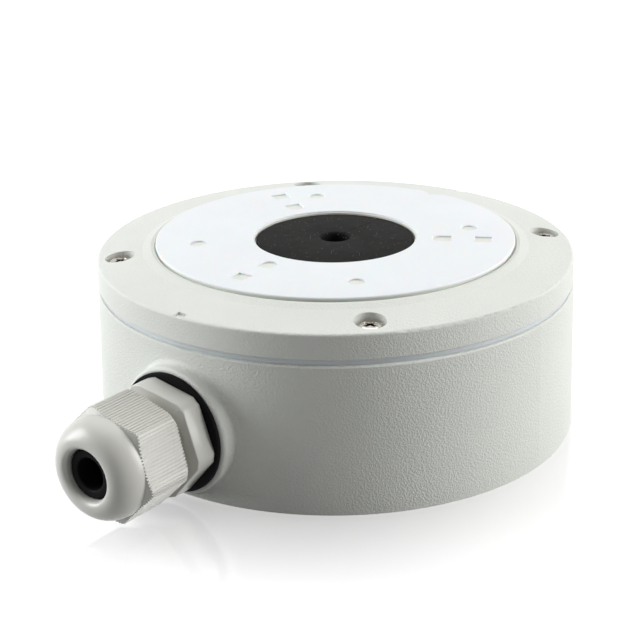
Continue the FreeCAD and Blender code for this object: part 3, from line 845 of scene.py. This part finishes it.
@dataclass(frozen=True)
class WhiteFloor(Finish):
    """Glossy white studio floor that fades a faint reflection and keeps a soft shadow."""

    bounce: float = 0.30
    glow: float = 0.94
    mirror: float = 0.52
    mirror_roughness: float = 0.07
    mirror_start: float = 0.070
    mirror_end: float = 0.130

    def paint(self, board: Board) -> None:
        """Adds the glow that is seen but lights nothing, and the reflection that fades with distance.

        Args:
            board: The material's board.
        """
        paths = board.add("ShaderNodeLightPath")
        seen = board.maths("MAXIMUM", paths.outputs["Is Camera Ray"], paths.outputs["Is Glossy Ray"])
        seen = board.maths("MAXIMUM", seen, paths.outputs["Is Transmission Ray"])
        board.set(Base_Color=(self.bounce, self.bounce, self.bounce, 1.0), Roughness=1.0,
                  Specular_IOR_Level=0.0, Emission_Color=(1.0, 1.0, 1.0, 1.0))
        board.join(board.maths("MULTIPLY", seen, self.glow), board.shader.inputs["Emission Strength"])
        gloss = board.add("ShaderNodeBsdfGlossy")
        gloss.inputs["Roughness"].default_value = self.mirror_roughness
        fade = board.add("ShaderNodeMapRange")
        fade.inputs["From Min"].default_value = self.mirror_start
        fade.inputs["From Max"].default_value = self.mirror_end
        fade.inputs["To Min"].default_value = self.mirror
        fade.inputs["To Max"].default_value = 0.0
        away = board.add("ShaderNodeVectorMath", operation="LENGTH")
        board.join(board.place, away.inputs[0])
        board.join(away.outputs["Value"], fade.inputs["Value"])
        share = board.maths("MULTIPLY", paths.outputs["Is Camera Ray"], fade.outputs["Result"])
        mix = board.add("ShaderNodeMixShader")
        for index, source in enumerate((share, board.shader.outputs["BSDF"], gloss.outputs["BSDF"])):
            board.join(source, mix.inputs[index])
        board.join(mix.outputs["Shader"], board.output.inputs["Surface"])


class Finishes:
    """Every material of the box, built once."""

    def __init__(self) -> None:
        """Builds the materials."""
        self.housing = PowderCoat().build("housing_powder_coat")
        self.lid = PowderCoat(grain_depth=0.12).build("lid_powder_coat")
        self.pad = PadSheet().build("white_pad_sheet")
        self.carrier = PadSheet(colour=(0.755, 0.760, 0.705)).build("cream_pad_carrier")
        self.grommet = DullRubber(dust=0.16).build("dusty_grommet_rubber")
        black = DullRubber(colour=(0.004, 0.004, 0.0045), roughness=(0.52, 0.70), gloss=0.05)
        self.rubber = black.build("black_seal_rubber")
        self.silicone = ClearSilicone().build("milky_silicone")
        self.nylon = MouldedNylon().build("grey_nylon")
        natural = MouldedNylon(colour=(0.62, 0.61, 0.57), roughness=(0.35, 0.41))
        self.natural_nylon = natural.build("natural_nylon")
        self.steel = NickelSteel().build("nickel_steel")


def dress(piece: Piece, material: Material) -> None:
    """Gives the whole piece one material."""
    piece.data.materials.clear()
    piece.data.materials.append(material)


def dress_node(node: str, material: Material) -> None:
    """Dresses a CAD node that is shown as it is."""
    dress(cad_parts[node], material)
    LOG.info("%s is shown as it is, in %s", node, material.name)


def stand_for(piece: Piece, node: str, body: str, material: Material) -> None:
    """Lets a new piece stand for a CAD node.

    Args:
        piece: The new piece, in place.
        node: The node that it replaces.
        body: The body that it rides on.
        material: Its finish.
    """
    Bench.smooth(piece)
    dress(piece, material)
    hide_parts(node)
    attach(piece, body)
    LOG.info("%s stands for %s on %s, %d faces", piece.name, node, body, len(piece.data.polygons))


# Sub-assemblies

@dataclass
class CrossScrew:
    """Pan-head screw with a cross recess, modelled upright with the underside of its head at zero."""

    head_radius: float = 3.5
    head_height: float = 2.4
    head_edge: float = 0.15
    crown_reach: float = 1.3
    crown_start: float = 1.15
    shank_radius: float = 2.0
    root_radius: float = 1.62
    plain_length: float = 4.6
    tip_length: float = 0.5
    tip_inset: float = 0.3
    pitch: float = 0.7
    recess_length: float = 4.5
    recess_width: float = 1.3
    recess_depth: float = 1.6
    recess_taper: float = 0.6

    def build(self, name: str, shank: float) -> Piece:
        """Turns the screw and cuts its recess.

        Args:
            name: The piece's name.
            shank: Length below the head.

        Returns:
            The screw.
        """
        plain = min(self.plain_length, shank / 4)
        tip = self.tip_length - shank
        crown = arc_profile((self.head_radius - self.crown_reach, self.crown_start),
                            (self.crown_reach, self.head_height - self.crown_start), 0, 90, 10)
        corners = [(0.0, -shank, 0.0), (self.root_radius - self.tip_inset, -shank, 0.0),
                   *thread_profile(self.shank_radius, self.root_radius, tip, -plain, self.pitch),
                   (self.shank_radius, -plain, 0.0), (self.shank_radius, 0.0, 0.0),
                   (self.head_radius, 0.0, self.head_edge), *crown, (0.0, self.head_height, 0.0)]
        screw = Bench.turned(name, corners, steps=64, arc=3, closed=False)
        bottom = self.head_height - self.recess_depth
        narrower = (self.recess_taper, self.recess_taper, 1.0)
        sides = (self.recess_length / 2, self.recess_width / 2)
        for x, y in (sides, sides[::-1]):
            blade = Bench.block("blade", (-x, -y, bottom), (x, y, self.head_height + SPARE))
            Bench.taper(blade, lambda v: v.co.z < (bottom + NEAR) * MM, narrower)
            Bench.combine(screw, blade, Operation.CUT)
        return screw


@dataclass
class Housing:
    """Cast housing with what is fixed in it: gasket, rear plug and earth terminal."""

    finishes: Finishes
    rim: float = 41.3
    gasket_top: float = 42.7
    gasket_inner: float = 63.635
    gasket_outer: float = 66.935
    gasket_ear: float = 5.4
    gasket_hole: float = 2.3
    gasket_round: float = 0.18
    plug_place: float = 22.0
    plug_bottom: float = 0.3
    plug_groove: Point = (1.3, 4.0)
    plug_top: float = 5.5
    plug_web: float = 2.1
    plug_lip: float = 12.4
    plug_neck: float = 10.45
    plug_recess: float = 8.45
    plug_round: float = 0.5
    plug_inner_round: float = 0.6
    terminal: Point = (30.0, -14.0)
    terminal_top: float = 10.6
    terminal_shank: float = 6.5
    terminal_turn: float = 12.0
    washer_inner: float = 2.05
    washer_outer: float = 4.1
    washer_thickness: float = 0.6
    washer_round: float = 0.08
    washer_teeth: int = 12
    tooth_root: float = 3.7
    tooth_tip: float = 4.5
    tooth_gap: float = 0.8

    def gasket(self) -> None:
        """Models the ring that seals the lid, with an ear round each screw."""
        ring = Bench.ring("rim_gasket", self.gasket_inner, self.gasket_outer, self.rim, self.gasket_top,
                          steps=192)
        for angle in QUARTERS:
            place = on_circle(SCREW_CIRCLE, angle)
            ear = Bench.cylinder("ear", self.gasket_ear, self.rim, self.gasket_top, 64, place)
            Bench.combine(ring, ear, Operation.JOIN)
        for angle in QUARTERS:
            place = on_circle(SCREW_CIRCLE, angle)
            hole = Bench.cylinder("hole", self.gasket_hole, self.rim - SPARE, self.gasket_top + SPARE, 48,
                                  place)
            Bench.combine(ring, hole, Operation.CUT)
        Bench.soften(ring, self.gasket_round)
        stand_for(ring, "lid_gasket", "base", self.finishes.silicone)

    def plug(self) -> None:
        """Models the rubber plug that blanks the cable entry in the floor."""
        low, high = self.plug_groove
        corners = [(0.0, self.plug_bottom, 0.0), (self.plug_lip, self.plug_bottom, self.plug_round),
                   (self.plug_lip, low, 0.0), (self.plug_neck, low, 0.0), (self.plug_neck, high, 0.0),
                   (self.plug_lip, high, 0.0), (self.plug_lip, self.plug_top, self.plug_round),
                   (self.plug_recess, self.plug_top, self.plug_round),
                   (self.plug_recess, self.plug_web, self.plug_inner_round), (0.0, self.plug_web, 0.0)]
        plug = Bench.turned("floor_plug", corners, steps=96, arc=4, closed=False)
        plug.location.y = self.plug_place * MM
        Bench.apply_place(plug)
        stand_for(plug, "rear_entry_plug", "base", self.finishes.rubber)

    def earth_terminal(self) -> None:
        """Models the earth screw and the toothed washer under it."""
        low = self.terminal_top - self.washer_thickness
        high = self.terminal_top
        washer = Bench.ring("toothed_washer", self.washer_inner, self.washer_outer, low, high, steps=72)
        half = self.tooth_gap / 2
        inner = (self.tooth_root, -half, low - SPARE)
        outer = (self.tooth_tip, half, high + SPARE)
        for index in range(self.washer_teeth):
            gap = Bench.block("gap", inner, outer, index * 360 / self.washer_teeth)
            Bench.combine(washer, gap, Operation.CUT)
        Bench.soften(washer, self.washer_round)
        washer.location = (self.terminal[0] * MM, self.terminal[1] * MM, 0)
        Bench.apply_place(washer)
        stand_for(washer, "earth_washer", "base", self.finishes.steel)
        master = CrossScrew().build("terminal_screw_master", self.terminal_shank)
        place = (*self.terminal, self.terminal_top)
        screw = Bench.copy_of(master, "terminal_screw", place, self.terminal_turn)
        bpy.data.objects.remove(master)
        stand_for(screw, "earth_screw", "base", self.finishes.steel)

    def build(self) -> None:
        """Paints the housing and models what is fixed in it."""
        dress_node("base_housing", self.finishes.housing)
        self.gasket()
        self.plug()
        self.earth_terminal()


class Mark(Enum):
    """Shapes of the marks in the pad."""

    ROUND = "round"
    SQUARE = "square"
    ARCH = "arch"


@dataclass
class Lid:
    """Cast lid with its pad, grommet and captive screws."""

    finishes: Finishes
    seat: float = 51.529
    pad_top: float = 53.329
    pad_inner: float = 22.85
    pad_outer: float = 50.95
    pad_round: float = 0.35
    sheet: float = 0.55
    ledge: float = 0.4
    carrier_inset: float = 0.2
    notch_depth: float = 2.5
    notch_width: float = 8.5
    mark_width: float = 4.7
    mark_chamfer: float = 0.16
    round_circle: float = 39.0
    square_circle: float = 42.0
    arch_circle: float = 30.0
    arch_length: float = 5.3
    bore: float = 20.5
    bore_fit: float = 0.05
    lip: float = 22.5
    lip_top: float = 52.479
    lip_edge: float = 0.35
    lower_lip: float = 1.7
    lower_lip_edge: float = 0.6
    crown: float = 52.979
    web: float = 3.4
    hole: float = 4.2
    hole_edge: float = 0.6
    inner_edge: float = 0.3
    sleeve: float = 17.45
    sleeve_round: float = 0.8
    underside: float = 48.529
    slit: float = 0.16
    screw_turns: tuple[float, ...] = (20.0, 55.0, 90.0, 170.0)
    screw_seat: float = 47.258
    screw_shank: float = 17.5
    retainer: tuple[float, float, float, float] = (2.0, 3.5, 43.0, 43.9)
    retainer_round: float = 0.15

    def mark_tool(self, kind: Mark, circle: float, angle: float) -> Piece:
        """Tool that cuts one mark through the pad, its square end outwards.

        Args:
            kind: The mark's shape.
            circle: Radius of the circle that its middle is on.
            angle: Its place on that circle, in degrees.

        Returns:
            The tool.
        """
        half = self.mark_width / 2
        low = self.seat - SPARE
        high = self.pad_top - self.mark_chamfer
        if kind is Mark.ROUND:
            tool = Bench.cylinder("mark", half, low, high, 48, on_circle(circle, angle))
        elif kind is Mark.SQUARE:
            tool = Bench.block("mark", (circle - half, -half, low), (circle + half, half, high), angle)
        else:
            end = circle + self.arch_length - half
            tool = Bench.block("mark", (circle, -half, low), (end, half, high), angle)
            rounded = Bench.cylinder("end", half, low, high, 48, on_circle(circle, angle))
            Bench.combine(tool, rounded, Operation.JOIN)
        Bench.flare(tool, high, 2 * self.mark_chamfer, 1 + 2 * self.mark_chamfer / half)
        return tool

    def pad(self) -> None:
        """Models the white sheet that seals the camera's foot, with its marks, and the carrier under it."""
        low = self.pad_top - self.sheet
        inner = self.pad_inner + self.ledge
        corners = [(inner, low, 0.0), (self.pad_outer, low, 0.0),
                   (self.pad_outer, self.pad_top, self.pad_round), (inner, self.pad_top, self.pad_round)]
        sheet = Bench.turned("camera_pad", corners, steps=192, arc=4)
        marks = [(Mark.ROUND, self.round_circle, angle) for angle in QUARTERS]
        marks += [(Mark.SQUARE, self.square_circle, angle) for angle in THIRDS]
        marks += [(Mark.ARCH, self.arch_circle, angle) for angle in THIRDS]
        for kind, circle, angle in marks:
            Bench.combine(sheet, self.mark_tool(kind, circle, angle), Operation.CUT)
        outer = self.pad_outer - self.carrier_inset
        carrier = Bench.ring("pad_carrier", self.pad_inner, outer, self.seat, low, steps=192)
        for piece in (sheet, carrier):
            Bench.combine(piece, self.notch_tool(), Operation.CUT)
        stand_for(sheet, "mounting_pad", "lid", self.finishes.pad)
        stand_for(carrier, "mounting_pad", "lid", self.finishes.carrier)

    def notch_tool(self) -> Piece:
        """Makes the wedge that cuts the notch in the pad's back edge.

        Returns:
            The tool.
        """
        apex = self.pad_outer - self.notch_depth
        depth = self.notch_depth + SPARE
        half = self.notch_width / 2 * depth / self.notch_depth
        tool = Bench.block("notch", (-half, apex, self.seat - SPARE),
                           (half, apex + depth, self.pad_top + SPARE))
        Bench.taper(tool, lambda v: v.co.y < (apex + NEAR) * MM, (0.0, 1.0, 1.0))
        return tool

    def grommet(self) -> None:
        """Models the split rubber grommet in the lid's bore."""
        neck = self.bore - self.bore_fit
        low = self.underside - self.lower_lip
        inside = self.crown - self.web
        corners = [(self.hole, inside, self.inner_edge), (self.sleeve, inside, self.sleeve_round),
                   (self.sleeve, low, self.inner_edge), (self.lip, low, self.lower_lip_edge),
                   (self.lip, self.underside, 0.0), (neck, self.underside, 0.0), (neck, self.seat, 0.0),
                   (self.lip, self.seat, 0.0), (self.lip, self.lip_top, self.lip_edge),
                   (self.hole, self.crown, self.hole_edge)]
        grommet = Bench.turned("split_grommet", corners, steps=192, arc=4)
        half = self.slit / 2
        slit = Bench.block("slit", (-half, 0.0, low - SPARE), (half, self.lip + SPARE, self.crown + SPARE))
        Bench.combine(grommet, slit, Operation.CUT)
        stand_for(grommet, "cable_grommet", "lid", self.finishes.grommet)

    def screws(self) -> None:
        """Models one captive screw with its retaining ring, and copies both to the four places."""
        screw = CrossScrew().build("screw_master", self.screw_shank)
        ring = Bench.ring("ring_master", *self.retainer, self.retainer_round, steps=64)
        for number, (angle, turn) in enumerate(zip(QUARTERS, self.screw_turns), 1):
            x, y = on_circle(SCREW_CIRCLE, angle)
            copy = Bench.copy_of(screw, f"captive_screw_{number}", (x, y, self.screw_seat), turn)
            stand_for(copy, f"lid_screw_{number}", "lid", self.finishes.steel)
            copy = Bench.copy_of(ring, f"captive_ring_{number}", (x, y, 0.0))
            stand_for(copy, f"screw_retainer_{number}", "lid", self.finishes.natural_nylon)
        bpy.data.objects.remove(screw)
        bpy.data.objects.remove(ring)

    def build(self) -> None:
        """Paints the lid and models what is fixed to it."""
        dress_node("lid", self.finishes.lid)
        self.pad()
        self.grommet()
        self.screws()


@dataclass
class Gland:
    """Nylon cable gland with its washer and seal, modelled upright and then laid on its axis.

    Its heights are distances from the box's axis along the gland.
    """

    finishes: Finishes
    axis: float = 19.0
    entry_face: float = 71.252
    washer: float = 16.45
    washer_round: float = 0.35
    wall_thread: float = 11.0
    wall_thread_start: float = 61.452
    wall_thread_lead: float = 0.8
    hex_across: float = 28.0
    hex_corner: float = 1.5
    hex_round: float = 0.32
    hex_start: float = 72.452
    hex_end: float = 78.852
    hex_turn: float = 20.0
    nut_thread: float = 10.6
    nut_thread_lead: float = 0.4
    thread_depth: float = 0.5
    pitch: float = 1.5
    claw_start: float = 87.252
    claw_end: float = 95.852
    claw_root: float = 10.2
    claw_tip: float = 9.8
    claw_round: float = 0.6
    claw_slot: float = 0.9
    claw_slots: int = 12
    slot_reach: float = 12.0
    nub: Point = (14.25, 50.0)
    nub_radius: float = 0.3
    nub_sink: float = 0.5
    nub_height: float = 0.45
    nub_taper: float = 0.6
    bore: float = 8.0
    bore_round: float = 0.3
    nut_start: float = 82.352
    nut_shoulder: float = 96.502
    nut_tip: float = 103.802
    nut_turn: float = 15.0
    nut_corner: float = 1.43
    nut_corner_reach: float = 15.5
    nut_corner_bevel: float = 0.4
    nut_side_least: float = 3.0
    nut_shoulder_drop: float = 0.9
    nut_mouth_clearance: float = 0.6
    nut_ribs: int = 15
    nut_rib_depth: float = 0.38
    nut_rib_round: float = 0.11
    nut_bore: float = 10.9
    dome: float = 13.75
    dome_crest: float = 8.3
    dome_overlap: float = 2.5
    mouth: float = 6.9
    cone_start: float = 95.802
    cone_end: float = 100.202
    cone_overlap: float = 0.9
    seal_bore: float = 4.3
    seal_outer: float = 7.7
    seal_nose: float = 6.6
    seal_taper: Point = (98.302, 99.502)
    seal_start: float = 85.802
    seal_end: float = 101.902
    seal_round: float = 0.5
    seal_mouth_round: float = 0.6

    def hexagon(self, name: str, start: float, end: float, turn: float) -> Piece:
        """Hexagonal prism of the gland's size across its flats."""
        radius = self.hex_across / 2 / math.cos(math.radians(30))
        return Bench.cylinder(name, radius, start, end, 6, turn=turn)

    def threads(self) -> list[Corner]:
        """Works out the profile of the body's two threads and its claws.

        Returns:
            The profile's corners.
        """
        middle = (self.hex_start + self.hex_end) / 2
        wall_root = self.wall_thread - self.thread_depth
        nut_root = self.nut_thread - self.thread_depth
        wall_end = self.wall_thread_start
        return [(self.bore, wall_end, self.bore_round), (wall_root, wall_end, self.bore_round),
                *thread_profile(self.wall_thread, wall_root, wall_end + self.wall_thread_lead,
                                self.hex_start, self.pitch),
                (wall_root, middle, 0.0), (nut_root, middle, 0.0),
                *thread_profile(self.nut_thread, nut_root, self.hex_end,
                                self.claw_start - self.nut_thread_lead, self.pitch),
                (self.claw_root, self.claw_start, 0.0), (self.claw_tip, self.claw_end, self.claw_round),
                (self.bore, self.claw_end, self.bore_round)]

    def body(self) -> None:
        """Models the body: wall thread, hexagon, nut thread and claws."""
        piece = self.hexagon("threaded_body", self.hex_start, self.hex_end, self.hex_turn)
        Bench.bevel_uprights(piece, self.hex_corner, 1)
        Bench.soften(piece, self.hex_round, 3)
        opening = Bench.cylinder("opening", self.bore + SPARE, self.hex_start - SPARE, self.hex_end + SPARE)
        Bench.combine(piece, opening, Operation.CUT)
        core = Bench.turned("core", self.threads(), steps=96, arc=3)
        Bench.combine(piece, core, Operation.JOIN)
        nub = Bench.cylinder("nub", self.nub_radius, self.hex_end - self.nub_sink,
                             self.hex_end + self.nub_height, 16, on_circle(*self.nub))
        Bench.taper(nub, lambda v: v.co.z > self.hex_end * MM, (self.nub_taper, self.nub_taper, 1.0))
        Bench.combine(piece, nub, Operation.JOIN)
        half = self.claw_slot / 2
        for index in range(self.claw_slots // 2):
            slot = Bench.block("slot", (-self.slot_reach, -half, self.claw_start),
                               (self.slot_reach, half, self.claw_end + SPARE), index * 360 / self.claw_slots)
            Bench.combine(piece, slot, Operation.CUT)
        self.finish(piece, "gland_body", "base", self.finishes.nylon)

    def ribbed_prism(self) -> Piece:
        """Hexagonal prism with rounded corners and fine ribs all the way round.

        Returns:
            The prism.
        """
        piece = self.hexagon("clamping_nut", self.nut_start - SPARE, self.nut_shoulder + SPARE,
                             self.nut_turn)
        Bench.bevel_uprights(piece, self.nut_corner, 6)
        Bench.open_up(piece)
        least = self.nut_side_least * MM
        Bench.select(piece, Element.EDGE, lambda e: abs(e.verts[0].co.z - e.verts[1].co.z) < TINY
                     and e.calc_length() > least)
        bpy.ops.mesh.subdivide(number_cuts=2 * self.nut_ribs - 1)
        mesh = bmesh.from_edit_mesh(piece.data)
        sides = [face for face in mesh.faces if abs(face.normal.z) < 0.5]
        sides.sort(key=lambda face: math.atan2(face.calc_center_median().y, face.calc_center_median().x))
        grooves = {face.index for face in sides[::2]}
        Bench.select(piece, Element.FACE, lambda face: face.index in grooves)
        inwards = {"value": -self.nut_rib_depth * MM}
        bpy.ops.mesh.extrude_region_shrink_fatten(TRANSFORM_OT_shrink_fatten=inwards)
        Bench.close_up(piece)
        Bench.soften(piece, self.nut_rib_round)
        return piece

    def nut_outline(self) -> list[Corner]:
        """Works out the profile that the ribbed prism is trimmed to, threaded inside.

        Returns:
            The profile's corners.
        """
        edge = self.nut_corner_bevel
        reach = self.nut_corner_reach
        thread = thread_profile(self.nut_bore + self.thread_depth, self.nut_bore,
                                self.nut_start + self.nut_mouth_clearance, self.cone_start, self.pitch)
        return [(self.nut_bore + self.nut_mouth_clearance, self.nut_start, 0.0),
                (reach - edge, self.nut_start, 0.0), (reach + edge, self.nut_start + 2 * edge, 0.0),
                (reach + edge, self.nut_shoulder - self.nut_shoulder_drop, 0.0),
                (self.dome, self.nut_shoulder, 0.0), (self.nut_bore, self.nut_shoulder, 0.0),
                *reversed(thread)]

    def dome_outline(self) -> list[Corner]:
        """Works out the profile of the nut's dome, its mouth and the cone inside.

        Returns:
            The profile's corners.
        """
        lip = self.dome_crest - self.mouth
        rise = self.nut_tip - self.nut_shoulder
        slope = (self.cone_end - self.cone_start) / (self.nut_bore - self.mouth)
        return [(self.dome, self.nut_shoulder - self.dome_overlap, 0.0),
                *arc_profile((self.dome_crest, self.nut_shoulder), (self.dome - self.dome_crest, rise),
                             0, 90, 20),
                *arc_profile((self.dome_crest, self.nut_tip - lip), (lip, lip), 105, 180, 6),
                (self.mouth, self.cone_end, 0.0),
                (self.nut_bore + self.cone_overlap, self.cone_start - slope * self.cone_overlap, 0.0)]

    def nut(self) -> None:
        """Models the domed clamping nut with its ribbed hexagon."""
        piece = self.ribbed_prism()
        Bench.combine(piece, Bench.turned("limit", self.nut_outline()), Operation.TRIM)
        Bench.combine(piece, Bench.turned("dome", self.dome_outline(), steps=160), Operation.JOIN)
        self.finish(piece, "gland_nut", "gland_nut", self.finishes.nylon)

    def sealing_washer(self) -> None:
        """Models the washer behind the hexagon."""
        washer = Bench.ring("sealing_washer", self.wall_thread, self.washer, self.entry_face, self.hex_start,
                            self.washer_round)
        self.finish(washer, "gland_washer", "base", self.finishes.rubber)

    def seal(self) -> None:
        """Models the rubber sleeve in the nut."""
        low, high = self.seal_taper
        corners = [(self.seal_bore, self.seal_start, self.seal_round),
                   (self.seal_outer, self.seal_start, self.seal_round), (self.seal_outer, low, 0.0),
                   (self.seal_nose, high, 0.0), (self.seal_nose, self.seal_end, self.seal_round),
                   (self.seal_bore, self.seal_end, self.seal_mouth_round)]
        seal = Bench.turned("cable_seal", corners)
        self.finish(seal, "gland_seal", "gland_seal", self.finishes.rubber)

    def finish(self, piece: Piece, node: str, body: str, material: Material) -> None:
        """Lays an upright piece on the gland's axis, outwards along -Y, and lets it stand for its node.

        Args:
            piece: The upright piece.
            node: The node that it replaces.
            body: The body that it rides on.
            material: Its finish.
        """
        piece.rotation_euler.x = math.radians(90)
        piece.location.z = self.axis * MM
        Bench.apply_place(piece)
        stand_for(piece, node, body, material)

    def build(self) -> None:
        """Models the gland's four pieces."""
        self.sealing_washer()
        self.body()
        self.seal()
        self.nut()


# Studio

@dataclass
class Lamp:
    """One soft rectangular lamp that looks at the box."""

    name: str
    place: Corner
    size: Point
    power: float
    aim: Corner = (0.0, 0.0, 0.03)
    colour: Colour = (1.0, 1.0, 1.0)

    def build(self) -> None:
        """Adds the lamp, turned towards its aim."""
        data = bpy.data.lights.new(self.name, "AREA")
        data.shape = "RECTANGLE"
        data.size, data.size_y = self.size
        data.energy = self.power
        data.color = self.colour
        lamp = bpy.data.objects.new(self.name, data)
        bpy.context.scene.collection.objects.link(lamp)
        lamp.location = self.place
        lamp.rotation_euler = (Vector(self.aim) - Vector(self.place)).to_track_quat("-Z", "Y").to_euler()


@dataclass
class Studio:
    """White studio with the photograph's camera. Its directions are turned with the camera's side."""

    side: float = 37.7
    elevation: float = 21.0475
    roll: float = -0.9562
    distance: float = 480.0
    lens: float = 94.63
    aim: Corner = (-4.819, -3.725, 29.120)
    nearest: float = 0.02
    floor_size: float = 6.0
    world_light: float = 0.20

    def turned(self, place: Corner) -> Corner:
        """A place given as seen by the camera, right, away and up, turned into the box's frame."""
        return tuple(Matrix.Rotation(math.radians(self.side), 3, "Z") @ Vector(place))

    def camera(self) -> None:
        """Adds the camera where the photograph was taken from."""
        tilt = math.radians(self.elevation)
        back = Vector(self.turned((0, -math.cos(tilt), math.sin(tilt))))
        right = Vector(self.turned((1, 0, 0)))
        up = back.cross(right)
        turn = Matrix((right, up, back)).transposed() @ Matrix.Rotation(math.radians(self.roll), 3, "Z")
        data = bpy.data.cameras.new("camera")
        data.lens = self.lens
        data.clip_start = self.nearest
        camera = bpy.data.objects.new("camera", data)
        bpy.context.scene.collection.objects.link(camera)
        place = (Vector(self.aim) + self.distance * back) * MM
        camera.matrix_world = Matrix.Translation(place) @ turn.to_4x4()
        bpy.context.scene.camera = camera

    def floor(self) -> None:
        """Adds the floor that the box stands on."""
        Bench.clear_selection()
        bpy.ops.mesh.primitive_plane_add(size=self.floor_size)
        floor = bpy.context.object
        floor.name = "floor"
        dress(floor, WhiteFloor().build("white_floor"))

    def world(self) -> None:
        """Sets an even world light that the camera, and what it sees reflected, sees as white."""
        world = bpy.data.worlds.new("white_world")
        world.use_nodes = True
        bpy.context.scene.world = world
        tree = world.node_tree
        paths = tree.nodes.new("ShaderNodeLightPath")
        seen = paths.outputs["Is Camera Ray"]
        for ray in ("Is Glossy Ray", "Is Transmission Ray"):
            either = tree.nodes.new("ShaderNodeMath")
            either.operation = "MAXIMUM"
            tree.links.new(seen, either.inputs[0])
            tree.links.new(paths.outputs[ray], either.inputs[1])
            seen = either.outputs["Value"]
        strength = tree.nodes.new("ShaderNodeMapRange")
        strength.inputs["To Min"].default_value = self.world_light
        strength.inputs["To Max"].default_value = 1.0
        tree.links.new(seen, strength.inputs["Value"])
        background = tree.nodes["Background"]
        background.inputs["Color"].default_value = (1.0, 1.0, 1.0, 1.0)
        tree.links.new(strength.outputs["Result"], background.inputs["Strength"])

    def lamps(self) -> None:
        """Adds the soft lamps: one above and one on each side."""
        above = self.turned((0.0, 0.25, 1.0))
        left = self.turned((-0.9, 0.07, 0.27))
        right = self.turned((0.9, -0.07, 0.27))
        for lamp in (Lamp("top_light", above, (1.0, 1.0), 5.1),
                     Lamp("left_light", left, (0.45, 0.8), 9.9, colour=(0.965, 0.985, 1.0)),
                     Lamp("right_light", right, (0.45, 0.8), 9.5)):
            lamp.build()

    def build(self) -> None:
        """Sets up the camera, the floor, the world and the lamps."""
        bpy.context.scene.view_settings.view_transform = "Standard"
        self.camera()
        self.floor()
        self.world()
        self.lamps()


def main() -> None:
    """Builds the studio and the box."""
    logging.basicConfig(level=logging.INFO, format="%(name)s: %(message)s")
    Studio().build()
    finishes = Finishes()
    for assembly in (Housing(finishes), Lid(finishes), Gland(finishes)):
        assembly.build()
    Bench.clear_selection()


if __name__ == "__main__":
    main()
